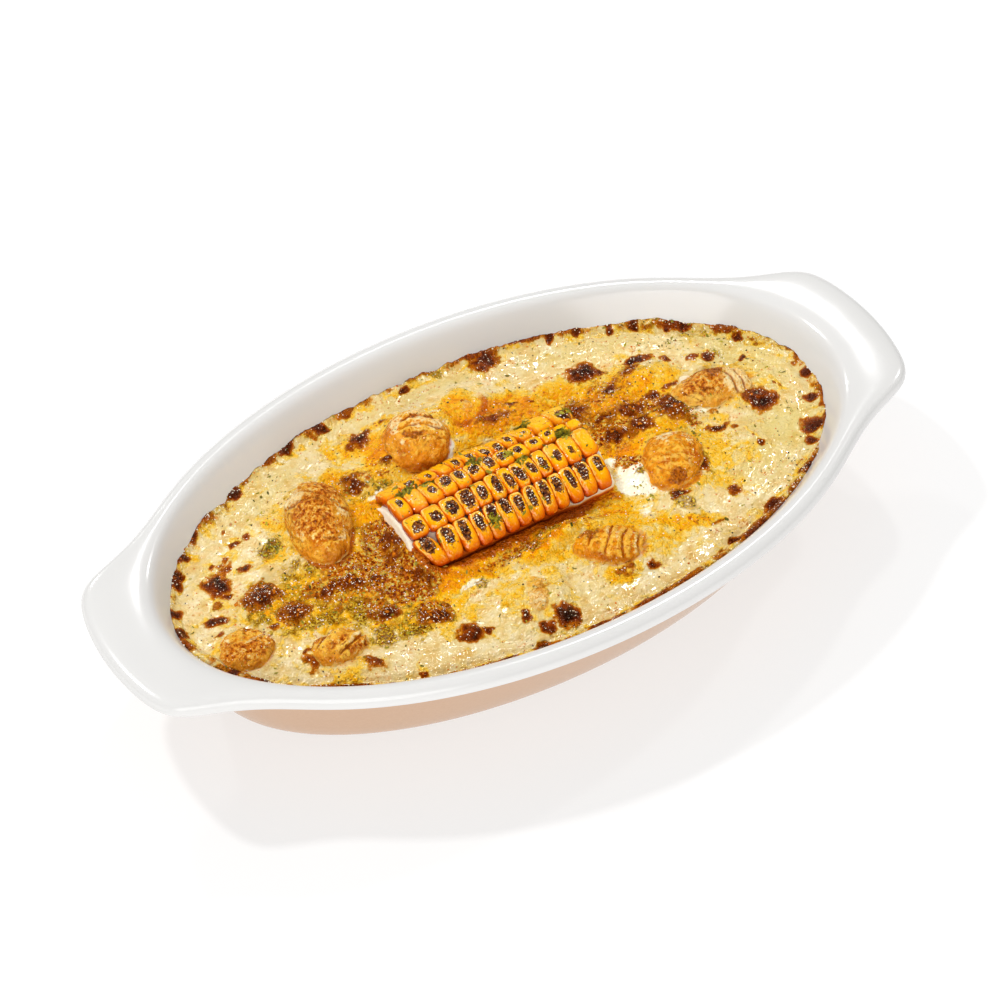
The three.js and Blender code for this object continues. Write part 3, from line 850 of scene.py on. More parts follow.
# %% Blisters and scabs
# Blisters and burnt spots: middle, half length, half width, turn, darkness
BLISTERS = [
    (-82, 14.2, 3.6, 3.9, 0, 1.0), (-77.8, 17.8, 3.2, 1.5, 40, 0.72), (-79, 20.4, 2.4, 0.8, 5, 0.6),
    (-76, 21.8, 1.1, 0.8, 0, 0.6), (-84.8, 7.6, 1.5, 1.9, 0, 0.45), (-88, 2.3, 3.5, 1.6, -8, 0.95),
    (-90.5, -2.1, 2.2, 0.7, 15, 0.62), (-72.7, 15, 1.8, 1.4, 0, 0.85), (-70.1, 24.6, 1.9, 1.3, 0, 0.85),
    (-66.4, 26, 1.4, 1.1, 0, 0.85), (-67.8, 31.2, 0.8, 0.6, 0, 0.6), (-71.8, 30, 0.8, 0.7, 0, 0.6),
    (-81.6, 9.4, 2.4, 1.1, -10, 0.7), (-89.9, -16.6, 0.9, 0.8, 0, 0.8), (-74.6, -23.8, 1.5, 4, 12, 0.55),
    (-72.9, -20.4, 1.4, 0.8, 0, 0.75), (-60.3, -32.4, 2.5, 3.7, 10, 0.68), (-51.2, -42, 1.2, 1, 0, 0.75),
    (-59.5, -42, 1.2, 1.1, 0, 0.7), (-33, -36, 3.4, 3.1, 0, 1.0), (-28.4, -37.4, 1.5, 1.6, 0, 0.8),
    (-18.3, -39.7, 1.9, 1.7, 0, 0.85), (-14.5, -45.2, 2.2, 2.1, 0, 0.85), (-8.3, -44.4, 3.2, 3.3, 0, 1.0),
    (21.8, -40.5, 1.5, 1.4, 0, 0.85), (13.5, -38.6, 2.6, 2, 0, 0.42), (-22.3, 41, 3.2, 3, 20, 0.85),
    (-26, 39.5, 1.8, 1.4, 0, 0.85), (-19.4, 42.6, 1.8, 1.5, 0, 0.85), (-13, 42.8, 1.7, 1, 0, 0.5),
    (23.6, 48.4, 3.8, 3.2, 0, 0.88), (43.6, 30, 4.4, 3.8, 0, 1.0), (47, 28.4, 2.4, 2.3, 0, 0.82),
    (60, 25.7, 4.3, 1.5, -12, 0.92), (66.8, 21.8, 1.2, 1.8, 10, 0.88), (55.4, 23, 2.6, 1.7, 0, 0.6),
    (73, 18.8, 1.5, 1.2, 0, 0.7), (77.2, 16, 2.4, 2.2, 0, 0.85), (61.4, 12, 2.6, 0.9, 10, 0.85),
    (85.5, 11.8, 1.6, 0.8, 30, 0.85), (80.6, -5, 4.1, 4.1, 0, 1.0), (88, -2.6, 0.5, 1.2, 0, 0.72),
    (63.8, -7.7, 3.3, 1.4, -10, 0.92), (67.8, -10.3, 1.2, 1.1, 0, 0.6), (66, -2.5, 1.7, 1.3, 0, 0.4),
    (71, -19.6, 1.2, 1.7, 0, 0.85), (55.6, -28.8, 1.9, 1.9, 0, 0.72), (41.4, -24, 2.7, 1.3, 0, 0.88),
    (44.4, -36.8, 2, 0.8, 0, 0.6), (52.4, -17, 2.8, 3.4, -30, 0.85), (57, 4, 4, 4.6, -30, 0.85),
    (47, 9, 4, 2.4, 0, 0.72), (-74, 3, 5.4, 4, 15, 0.8), (-69, -6.3, 4.4, 3.3, -10, 0.78),
    (-76.3, -8.2, 1.6, 1.2, 0, 0.72), (-48.2, -19, 3.2, 3, 0, 0.85), (-57, -4, 4, 1.8, 10, 0.82),
    (-52, -6.5, 4, 2, -20, 0.8), (-38, -26, 4, 2.2, -25, 0.8), (20, 30.5, 2, 0.9, 0, 0.75),
    (-33, 26, 3, 3.6, 0, 0.7), (-20.5, 28.6, 3, 1.4, -10, 0.75), (12, 27, 6, 2, 0, 0.62),
    (34, 17, 3.4, 4, 0, 0.72), (39, 4, 4, 3, 0, 0.75), (46, 3.5, 5, 2.6, 0, 0.76),
    (55, 11, 2.6, 2, 0, 0.8), (38, 10.3, 2.6, 1, 0, 0.8), (46.5, 19.8, 2.4, 1, 0, 0.75),
    (54, -11.8, 2, 1.2, 0, 0.5),
]
# Dark scabs on the crust along the wall: middle and half size
CRUST_SCABS = [
    (-99, 3, 2.6), (-97, 10.6, 2.6), (-91.5, 20, 2.2), (-89.4, 22.4, 2), (-85.6, 26.2, 1.8),
    (-79, 32.4, 1.6), (-74, 36, 1.5), (-62, 40.5, 1.8), (-55, 45, 1.8), (-42, 48.6, 2), (-30, 49.8, 2.4),
    (-2, 51, 1.8), (44, 47, 2), (50.4, 44.6, 1.6), (60, 41.5, 1.8), (66, 38.4, 1.9), (74, 33, 1.3),
    (79, 31, 2.2), (89.5, 19, 1.8), (97.6, -2, 2), (93.6, -11.4, 2.2), (88, -20.2, 3.4), (84, -25, 2.2),
    (76, -33, 1.8), (61.5, -39.6, 2.8), (45, -44.8, 2), (-20, -51, 3), (-30, -49.4, 2.4), (-47, -46, 1.4),
    (-70, -37, 2.6), (-81, -29.5, 2.2), (-88.5, -24.4, 1.8), (-93.4, -17, 1.8),
]
print("blisters:", len(BLISTERS), "and scabs of the crust:", len(CRUST_SCABS))

# %% Zones of the cream
# All of these lists are ovals: middle, half length, half width, turn, strength. Here the grainy brown skin
GRAINY = [
    (-45, -6.5, 14, 7, -24, 1.0), (-37, 2, 6, 8, 10, 0.9), (-38, -14, 8, 7, 0, 0.95),
    (-50, -17, 4, 5, 0, 0.8), (-38, -25, 6, 3.4, -25, 0.85), (-74, 3, 6, 4.6, 10, 0.95),
    (-69.4, -6, 5, 4, 0, 0.95), (-61, -2, 5, 3, 0, 0.6), (22, 29, 8, 2.4, 0, 0.3), (33, 17, 5, 6, 0, 0.7),
    (38, 6, 8, 8, 0, 0.65), (46, 8, 9, 6, 0, 0.6), (56, 5, 5, 6, 0, 0.7), (46, 20, 11, 5, 10, 0.5),
    (-32.5, 26, 5, 4.6, 0, 0.65), (-24, 27, 8, 3, 0, 0.5), (36, -6, 5, 3, -20, 0.7),
    (60, -2, 2.6, 3, 0, 0.6), (55, 24, 4, 2.4, 0, 0.6), (-48, 0, 8, 4, -20, 0.8), (-58, -8, 5, 4, 0, 0.5),
    (-8, -18.8, 12, 2.6, 4, 0.6), (12, -20, 9, 2, 10, 0.45),
]
# Orange butter
BUTTERY = [
    (-38, 10, 22, 17, 0, 0.6), (34, 14, 34, 16, 0, 0.62), (-34, -12, 22, 13, -10, 0.66),
    (8, -20, 30, 7, 0, 0.6), (-10, 28, 26, 12, 0, 0.6), (52, -12, 14, 12, 0, 0.5),
    (24, -30, 18, 7, -20, 0.45), (-60, -6, 14, 12, 0, 0.45), (-29, -16.5, 9, 6, -15, 1.0),
    (-20, -19, 6, 4, -10, 0.9), (-36, 13, 6, 9, 15, 0.85), (-36, 27, 7, 7, 0, 0.8),
    (-20, 33, 6, 8, -40, 0.9), (-14, 42, 4, 2.4, 0, 0.7), (6, 34, 7, 6, 0, 0.85), (14, 28, 17, 7, 0, 1.0),
    (31, 25, 9, 8, 0, 0.8), (40, 14, 13, 10, 0, 1.0), (38, 2, 8, 9, 0, 0.95), (54, 18, 8, 7, 0, 0.75),
    (52, 3, 9, 8, 0, 0.85), (63, 15, 6, 4, 20, 0.6), (2, -19, 15, 4.6, 10, 1.0),
    (0, -14.5, 30, 2.6, 0, 1.0), (24, -19, 7, 3, -25, 0.85), (25, -27, 6, 3, -30, 0.6),
    (38, -33, 9, 2.6, -20, 0.9), (32, -29, 4, 2, -20, 0.6), (12, -39, 5, 3.4, 0, 0.6),
    (5, -27, 6, 3, -20, 0.5), (27, -36, 5, 3, 0, 0.45), (-68, -33, 6, 4, 0, 0.45),
    (-60, 3, 6, 5, 0, 0.55), (-64, 14, 6, 5, 20, 0.35), (-57, 25, 5, 8, -20, 0.4),
    (-45, -14, 12, 12, 0, 0.7), (-48, -2, 12, 9, 0, 0.75), (46, -15, 9, 9, 0, 0.55),
    (-28, -30, 5, 4, 0, 0.35), (56, -26, 4, 3, 0, 0.5), (-60, -7, 22, 11, -20, 0.75),
    (-43, -22, 15, 8, -20, 0.75), (-16, -30, 14, 5, 0, 0.33), (74, -2, 5, 3, 0, 0.4),
    (66, -20, 6, 5, 0, 0.25), (-26, 40, 9, 5, 0, 0.55),
]
# Herbs soaked into the cream
HERBY = [
    (-64, 17.5, 4.5, 3.6, 20, 0.95), (-61, 6, 7, 5, 0, 0.7), (-78.5, -3, 2.6, 6, 0, 0.75),
    (-67, -12, 10, 3, -12, 0.8), (-60, -9, 5, 5, 0, 0.8), (-54.5, -15, 4.5, 6, 10, 0.9),
    (-52.6, -25, 4, 4.5, 0, 0.9), (-44, -27.5, 6, 2.6, 0, 0.9), (-34.5, -27.5, 3, 3, 0, 0.7),
    (-30, 22, 6, 3, 0, 0.65), (-41, 7, 4, 6, 20, 0.45), (0, -18.6, 8, 2.4, 10, 0.9),
    (-21.8, -23.6, 2.4, 1.2, 0, 0.9), (41, -27, 3, 6, 10, 0.75), (52, -15, 5, 6, -30, 0.75),
    (62, 1, 3, 4, 0, 0.8), (36, -11.5, 2, 2, 0, 0.9), (82, 17, 5, 3, 0, 0.45), (79, 28, 4, 3, -30, 0.45),
    (65, -14, 4, 3, 0, 0.4), (50, 7, 6, 3, 0, 0.4), (-46, -31, 2, 2, 0, 0.6),
    (-55.5, -28.5, 1.5, 1.5, 0, 0.6), (9, 51, 2, 1.5, 0, 0.7), (-2, -35, 3, 3, 0, 0.25),
    (60, 20, 5, 4, 0, 0.3), (-56, 32, 8, 4, 20, 0.3), (-36, 24, 4, 6, 0, 0.5),
    (-62, -3, 17, 9, -20, 0.55), (-48, -20, 13, 8, -20, 0.55),
]
# Cream with a green cast
GREENISH = [
    (86, 12, 12, 17, 0, 0.8), (84, -18, 14, 10, -20, 0.85), (68, -24, 12, 7, 10, 0.6),
    (50, 38, 22, 5, -15, 0.5), (0, 48, 34, 3, 0, 0.5), (-56, 37, 14, 5, 20, 0.45),
    (-84, 0, 6, 16, 0, 0.2), (-6, -40, 20, 5, 0, 0.25), (82, 26, 8, 5, -35, 0.8),
]
# Cream that stayed white
WHITE = [
    (-6.5, 22.4, 5.5, 2.2, 30, 1.0), (-29.6, 19, 2.2, 1.4, 20, 1.0), (32.6, -3.2, 2, 2, 0, 1.0),
    (34, -13, 5, 7, 30, 1.0), (-6, -34, 5, 5, 0, 0.3), (64, 9.5, 5, 2, 35, 0.6), (64, -1, 3, 2, 0, 0.5),
    (86, 6, 3, 5, 0, 0.3), (12, -26, 5, 2, -20, 0.4), (31, -22, 4, 3, 0, 0.6),
    (-25, -22.6, 5, 1, -5, 0.8),
]
print("ovals of each kind:", [len(kind) for kind in (GRAINY, BUTTERY, HERBY, GREENISH, WHITE)])

# %% Mounds, the fold and the corn's footprint
# Soft mounds over what the cream hides: middle, half length, half width and height, as in the CAD model
MOUNDS = [
    (-73, 1, 8, 6.5, 2.8), (-67, -8, 7, 5.5, 2.2), (-68, 11, 9, 5, 1.6), (-48, -7, 13, 9, 2.2),
    (-42, -20, 14, 7, 1.8), (-28, -20, 9, 5, 2.2), (4, -21, 12, 4, 2.4), (10, 25, 14, 6, 2.2),
    (-28, 25, 10, 7, 1.6), (42, 12, 11, 12, 2.6), (55, 2, 8, 6, 1.6), (58, 19, 9, 6.5, 2.8),
    (42, 27, 8, 5, 1.4), (75, 17, 5.5, 4.5, 2), (66, -14, 9, 7.5, 1.8), (30, -30, 12, 5, 1.4),
    (-62, -33, 11, 5.5, 1.6), (-11.5, -34, 7.6, 6.2, 2.9), (7.4, 34.2, 7.4, 6, 2.4),
]
# The fold of skin in front of the corn: middle, half length, half width, turn
FOLD = (0.5, -20.6, 14, 3.4, 6)
# The corn's footprint in plan: from and to along X, from and to along Y
CORN_BOX = (-32.6, 27.5, -14.4, 17.4)
print("mounds:", len(MOUNDS))

# %% Cream blank
CREAM_INSET = 10.6
CREAM_OVAL = OVAL - CREAM_INSET
CREAM_GRID = (404, 198)
# The wall below the border: inset and height, a little inside the dish
CREAM_WALL = [(11.4, 29), (20.75, 12.75), (25.35, 7.35), (32.3, 5.35)]

clear_selection()
bpy.ops.mesh.primitive_grid_add(x_subdivisions=CREAM_GRID[0], y_subdivisions=CREAM_GRID[1], size=2)
cream = bpy.context.object
square = points_of(cream) * MM
oval = np.stack([
    square[:, 0] * np.sqrt(1 - square[:, 1] ** 2 / 2) * CREAM_OVAL[0],
    square[:, 1] * np.sqrt(1 - square[:, 0] ** 2 / 2) * CREAM_OVAL[1],
    np.full(len(square), CREAM_LEVEL),
], axis=1)
move_points(cream, oval)
top_count = len(oval)
bpy.ops.object.mode_set(mode="EDIT")
bpy.ops.mesh.select_mode(type="EDGE")
bpy.ops.mesh.select_all(action="SELECT")
bpy.ops.mesh.region_to_loop()
size = CREAM_OVAL * MM
height = CREAM_LEVEL * MM
for inset, level in CREAM_WALL:
    bpy.ops.mesh.extrude_region_move()
    size, height = bring_ring(size, height, inset, level)
bpy.ops.mesh.edge_face_add()
face_outwards()
bpy.ops.mesh.select_mode(type="VERT")
to_object_mode()
print("cream:", len(cream.data.polygons), "faces,", top_count, "points on top")

# %% Zones on the cream's points
points = points_of(cream)
x, y = points[:top_count, 0].copy(), points[:top_count, 1].copy()
# Ragged places for everything that the lists above paint
ragged_x = x + 0.9 * rough(x, y, 4, 1) + 0.35 * hills(x, y, 1.2, 2)
ragged_y = y + 0.9 * rough(x, y, 4, 3) + 0.35 * hills(x, y, 1.2, 4)
# How far out each point lies, 1 on the border, and its distance from the wall in mm
out = np.hypot(x / CREAM_OVAL[0], y / CREAM_OVAL[1])
slope = np.maximum(np.hypot(x / CREAM_OVAL[0] ** 2, y / CREAM_OVAL[1] ** 2), 1e-4)
from_wall = (1 - out**2) / (2 * slope)

blistered = patches(ragged_x, ragged_y, BLISTERS, 0.62)
scabs = patches(ragged_x, ragged_y, [(a, b, c, c * 0.8, 0, 0.78) for a, b, c in CRUST_SCABS], 0.55)
grainy = patches(ragged_x, ragged_y, GRAINY, 0.4)
buttery = patches(ragged_x, ragged_y, BUTTERY, 0.45)
herby = patches(ragged_x, ragged_y, HERBY, 0.5)
greenish = patches(ragged_x, ragged_y, GREENISH, 0.6)
white = patches(ragged_x, ragged_y, WHITE, 0.3)
print("browned share of the cream:", round(float((np.maximum(blistered, grainy) > 0.3).mean()), 2))

# %% Waves, mounds, blisters and lumps
BLISTER_RISE = 0.26
WIDEST_BLISTER = 3.5
FOLD_RISE = 1.7

waves = 0.25 * np.sin(x / 7 + 1) * np.cos(y / 6) + 0.2 * np.sin(x / 13 - y / 9)
level = CREAM_LEVEL + waves * (1 - np.minimum(1, out) ** 6)
mounds = [high * np.exp(-1.1 * (((x - a) / b) ** 2 + ((y - c) / d) ** 2)) for a, c, b, d, high in MOUNDS]
level += np.max(mounds, axis=0)

dome = np.zeros_like(x)
for blister in BLISTERS:
    swell = np.maximum(0, 1 - oval_distance(ragged_x, ragged_y, blister) ** 2)
    dome = np.maximum(dome, BLISTER_RISE * min(blister[2], blister[3], WIDEST_BLISTER) * swell)
level += dome
level += blistered * 0.2 * rough(x, y, 1.4, 11)
level += 0.28 * rough(x, y, 7, 5) + (0.1 + 0.2 * np.maximum(buttery, herby)) * rough(x, y, 2.6, 6)
lumps = rough(x, y, 3.4, 7)
level += grainy * (0.5 * lumps + 0.16 * rough(x, y, 1.2, 8, 2))
fold = smooth(1.2, 0.75, oval_distance(ragged_x, ragged_y, FOLD))
level += FOLD_RISE * fold * (1 + 0.4 * rough(x, y, 3, 34))
print("cream before the crust up to", round(float(level.max()), 1), "mm")

# %% Crust along the wall
# It climbs the wall over a shallow groove, and stands higher and wider on the near side
CRUST_RISE = 1.15
NEAR_RISE = 1.9
CRUST_WIDTH = 2.4
NEAR_WIDTH = 1.8
GROOVE_DEPTH = 0.4
GROOVE_PLACE = 3.2
STROKE_DEPTH = 0.17

from_left = x / CREAM_OVAL[0] ** 2 * -math.sin(CAMERA_AZIMUTH)
from_back = y / CREAM_OVAL[1] ** 2 * math.cos(CAMERA_AZIMUTH)
near_side = smooth(0.1, 0.75, (from_left - from_back) / slope)
crust_height = CRUST_RISE + NEAR_RISE * near_side + 0.7 * hills(x, y, 11, 21) + 0.35 * hills(x, y, 3.5, 22)
level += crust_height * smooth(CRUST_WIDTH + NEAR_WIDTH * near_side, 0, from_wall) ** 1.4
level -= GROOVE_DEPTH * np.exp(-((from_wall - GROOVE_PLACE) ** 2)) * (0.6 + 0.5 * hills(x, y, 9, 23))
level += 0.25 * rough(x, y, 1.8, 24) * smooth(3, 0.6, from_wall)
# Faint strokes run with the wall, as the cream was spread
around = np.arctan2(y / CREAM_OVAL[1], x / CREAM_OVAL[0]) * 80
strokes = rough(from_wall + 2.5 * hills(x, y, 16, 28), around / 8, 2.2, 29, 2)
level += STROKE_DEPTH * (1 - np.maximum(grainy, buttery)) * strokes
print("crust up to", round(float(crust_height.max()), 1), "mm high")

# %% Cream against the gnocchi and the corn
# Cream clings a little to each gnocco and to the corn, and a halo of butter lies round each gnocco
HIGHEST_CLIMB = 2.6
CLIMB_REACH = 3.6
CORN_CLIMB = 1.1
SAUCE_BANK = 4.9

halo = np.zeros_like(x)
contact_shadow = np.zeros_like(x)
for spec in GNOCCHI.values():
    middle, halves = spec["middle"], spec["halves"]
    beside = (oval_distance(x, y, (*middle[:2], *halves[:2], spec["heading"])) - 1) * min(halves[:2])
    climb = min(HIGHEST_CLIMB, spec["cling"] * (middle[2] + halves[2] - CREAM_LEVEL))
    level += climb * np.exp(-((beside / CLIMB_REACH) ** 2)) * (0.75 + 0.35 * hills(x, y, 5, 33))
    halo = np.maximum(halo, smooth(6.5, 0.5, beside + 2 * hills(x, y, 4, 37)))
    # A thin dark line of sauce round each gnocco, darkened by painted shadow on its side away from the light
    away_from_light = smooth(-0.4, 0.8, (0.5 * (x - middle[0]) - (y - middle[1])) / halves[0])
    line = smooth(2.2, 0.3, np.abs(beside + 0.4)) * (0.25 + 0.75 * away_from_light)
    contact_shadow = np.maximum(contact_shadow, line * min(1, 0.3 + spec["stain"]))
beside_corn = np.maximum.reduce([CORN_BOX[0] - x, x - CORN_BOX[1], CORN_BOX[2] - y, y - CORN_BOX[3]])
uncovered = beside_corn > -1.5
level += CORN_CLIMB * np.exp(-((np.maximum(beside_corn, 0) / 1.8) ** 2)) * smooth(20, 0, x) * uncovered
# A bank of sauce stands against the corn's left end, up to the white of the pith
at_left_end = smooth(CORN_BOX[0] + 6, CORN_BOX[0] - 1, x) * smooth(-19, -13, y) * smooth(18, 11, y)
level += SAUCE_BANK * at_left_end * np.exp(-((np.maximum(beside_corn, 0) / 4) ** 2)) * uncovered
level = np.where(beside_corn < -1.5, CREAM_LEVEL - 0.5, level)
print("cream hidden by the corn:", round(float(1 - uncovered.mean()), 2))

# %% Border and height map
# The wall of the dish where the cream meets it: its inset at a height, and how far it opens with each mm
WALL_INSET = 10.8
WALL_HEIGHT = 30.6
WALL_OPENING = 4 / 7.2
WALL_GAP = 0.05

points[:top_count, 2] = level
# The border rests on the sloping wall of the dish
border = np.arange(top_count)[out > 1 - 1e-4]
wall_inset = WALL_INSET - (points[border, 2] - WALL_HEIGHT) * WALL_OPENING + WALL_GAP
border_angle = np.arctan2(y[border] / CREAM_OVAL[1], x[border] / CREAM_OVAL[0])
points[border, 0] = (OVAL[0] - wall_inset) * np.cos(border_angle)
points[border, 1] = (OVAL[1] - wall_inset) * np.sin(border_angle)
move_points(cream, points)
print("cream top from", round(float(level.min()), 1), "to", round(float(level.max()), 1), "mm")

# How far each point of the dough stands above the cream beside it, from a coarse map of the cream's height
MAP_SIZE = (240, 140)
height_map = np.full(MAP_SIZE, CREAM_LEVEL)


def cell_of(x, y):
    """The cell of the map that holds a point. Each cell is a millimetre wide."""
    return (x + MAP_SIZE[0] / 2).astype(int), (y + MAP_SIZE[1] / 2).astype(int)


np.maximum.at(height_map, cell_of(x, y), level)
for gnocco in gnocchi:
    places = points_of(gnocco)
    paint(gnocco, "above", places[:, 2] - height_map[cell_of(places[:, 0], places[:, 1])])

# %% Cream paint
at_rim = smooth(2.8 + 0.8 * near_side, 0.4, from_wall + 1.5 * rough(x, y, 3.5, 25))
rim_brown = (0.36 + 0.3 * hills(x, y, 5, 40)) * at_rim
lumps_brown = 0.62 * grainy * smooth(-0.3, 0.9, lumps + 0.5 * rough(x, y, 1.2, 8, 2))
toast = np.maximum.reduce([blistered * (0.82 + 0.3 * hills(x, y, 1.3, 27)), scabs, rim_brown, lumps_brown])
print("toasted share of the cream:", round(float((toast > 0.3).mean()), 2))
near_corn = smooth(4.5, 0.5, beside_corn + 1.2 * rough(x, y, 3, 26))


def paint_top(name, values):
    """Paints the points of the cream's top, and leaves those down the wall at 0."""
    paint(cream, name, np.concatenate([values, np.zeros(len(points) - top_count)]))


paint_top("toast", toast)
paint_top("grainy", grainy * (1 - white))
wider_blisters = [(a, b, c + 1.6, d + 1.6, turn, 0.24) for a, b, c, d, turn, _ in BLISTERS]
by_blisters = patches(ragged_x, ragged_y, wider_blisters, 0.6)
by_wall = 0.3 * smooth(5.5, 2, from_wall + 1.5 * rough(x, y, 5, 38))
gilded = np.maximum.reduce([buttery, near_corn, 0.26 * halo, by_blisters, by_wall])
paint_top("buttery", gilded * (1 - white))
# Painted shadow darkens the sauce under the front of the corn and round each gnocco
shadow_under_corn = smooth(2.6, 0.6, beside_corn + 1.2 * rough(x, y, 3, 26)) * smooth(2, -6, y) * smooth(24, 16, x)
paint_top("deep", np.maximum(shadow_under_corn, contact_shadow))
paint_top("herby", herby)
paint_top("greenish", greenish)
paint_top("white", white)
finish_object(cream, "corn_cream")

# %% [markdown]
# The cream's finish is built in layers, from the palest to the darkest: cream, its green cast, orange
# butter, herbs, the grainy skin and the browning. Each layer has its own painted mask, and noise of a few
# sizes is added to the mask before it is cut, which gives edges as ragged as the real ones.

# %% Pale cream
sauce = Finish("corn cream", Specular_IOR_Level=0.8, Coat_Roughness=0.09)
coarse = sauce.noise(4.5, detail=2) - 0.5
middling = sauce.noise(2.6, detail=2) - 0.5
fine = sauce.noise(1.2, detail=2) - 0.5
tiny = sauce.noise(0.6, detail=1) - 0.5

pale = sauce.ramp((coarse + middling * 0.6 + 0.5).clamped(), [
    (0.25, srgb(220, 178, 98)), (0.5, srgb(232, 207, 146)), (0.75, srgb(240, 224, 184)),
])
tone = sauce.mix((sauce.attribute("greenish") * 0.6 + coarse * 0.5).clamped(), pale, srgb(214, 192, 96))
tone = sauce.mix((sauce.attribute("white") * 1.1 + fine * 0.4).between(0.4, 0.6), tone, srgb(252, 244, 216))
broad = sauce.noise(15, detail=1) - 0.5
freckles = (middling * 0.9 + fine * 0.45 + coarse * 0.9 + broad * 1.1).between(0.08, 0.52)
tone = sauce.mix(freckles * 0.85, tone, srgb(230, 164, 48))
dots = (tiny * 1.2 + fine * 0.7 + coarse * 0.7 + broad * 0.6).between(0.32, 0.44)
tone = sauce.mix(dots * 0.7, tone, srgb(190, 100, 8))
print("pale cream:", len(sauce.tree.nodes), "nodes")

# %% Butter and herbs
swirls = sauce.noise(5, detail=2, distortion=1.2) - 0.5
butter = sauce.attribute("buttery") + swirls * 1.3 + middling * 0.7
buttered = butter.between(0.1, 0.42)
butter_tone = sauce.ramp((butter * 0.72 + fine * 0.7).clamped(), [
    (0.08, srgb(246, 220, 138)), (0.3, srgb(252, 206, 80)), (0.5, srgb(255, 190, 14)),
    (0.72, srgb(250, 162, 0)), (1.0, srgb(220, 118, 0)),
])
tone = sauce.mix(buttered, tone, butter_tone)
herbs = (sauce.attribute("herby") + middling * 1.5 + fine * 1.3).between(0.35, 0.95)
herb_tone = sauce.ramp((fine * 1.4 + tiny + middling * 0.5 + 0.5).clamped(), [
    (0.2, srgb(96, 52, 0)), (0.42, srgb(146, 94, 0)), (0.6, srgb(204, 152, 4)), (0.8, srgb(248, 212, 80)),
])
tone = sauce.mix(herbs, tone, herb_tone)
print("with butter and herbs:", len(sauce.tree.nodes), "nodes")

# %% Grainy skin, dark sauce with painted shadow, and browning
grains = (sauce.attribute("grainy") + coarse * 0.8 + middling * 0.8).between(0.35, 0.65)
grain_tone = sauce.ramp((fine * 1.5 + tiny * 0.7 + 0.5).clamped(), [
    (0.18, srgb(134, 46, 0)), (0.36, srgb(208, 102, 0)), (0.54, srgb(248, 164, 16)),
    (0.74, srgb(255, 226, 112)),
])
tone = sauce.mix(grains, tone, grain_tone)
# Painted shadow in dark sauce, under the front of the corn and round the gnocchi
deep = (sauce.attribute("deep") + middling * 0.6).between(0.3, 0.8)
shadow_and_sauce_tone = sauce.mix((fine * 1.5 + 0.5).clamped(), srgb(166, 66, 0), srgb(232, 124, 0))
tone = sauce.mix(deep * 0.9, tone, shadow_and_sauce_tone)

toasting = sauce.attribute("toast") + middling * 0.35 + fine * 0.3
toast_tone = sauce.ramp(toasting.clamped(), [
    (0.14, srgb(246, 192, 66)), (0.32, srgb(222, 134, 8)), (0.52, srgb(170, 78, 0)), (0.76, srgb(112, 42, 0)),
    (1.0, srgb(62, 22, 4)),
])
toasted = toasting.between(0.14, 0.34)
tone = sauce.mix(toasted, tone, toast_tone)
print("with grain and browning:", len(sauce.tree.nodes), "nodes")

# %% Dress the cream
# The pale cream is smooth under a thin coat. The browner it is, the livelier its relief
relief = middling * 0.9 + fine * 0.55 + tiny * 0.3
liveliness = grains * 1.8 + toasted * 1.8 + herbs * 1.3 + buttered * 0.9 + 0.4
bumps = sauce.bump(relief * liveliness, 1.4)
cream_material = sauce.set(
    Base_Color=tone,
    Roughness=0.19 - (toasted + grains + buttered).clamped() * 0.06 + fine * 0.06,
    Coat_Weight=(1 - (toasted + grains + buttered + herbs).clamped()) * 0.45,
    Normal=bumps,
)
dress(cream, cream_material)
print("cream finish:", len(sauce.tree.nodes), "nodes")
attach(cream, "root")
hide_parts("cream_sauce")

# %% [markdown]
# ## The corn rib
#
# The rib is cut lengthwise off a grilled cob: four rows of kernels, and one kernel of a fifth, stand on a
# strip of white pith. One kernel is modelled as a rounded pillow from a subdivided cube, and copied to the
# places in the list. Each copy is bent round the cob and squeezed between its neighbours. The grill has
# charred the crowns, each by its own share.

# %% Corn places and sizes
COB_RADIUS = 21.0
COB_AXIS = (1.9, 21.2)
RIB_LEFT = -32.4
RIB_LENGTH = 60.0
RIB_RISE = math.radians(1.4)
PITH_RADIUS = 17.4
PITH_HALF_WIDTH = PITH_RADIUS * math.sin(math.radians(52))
PITH_CUT = 7.2
KERNEL_ROOT = 14.6
KERNEL_CUTS = 13
KERNEL_SQUARENESS = 4.2
LONE_KERNEL_HALF = 2.2
# How far a kernel fills its place along and across its row, past a half, so that it presses on the next
FILL_ALONG = 0.535
FILL_ACROSS = 0.525
KERNEL_DENT = 0.28
KERNEL_UNEVENNESS = 0.06
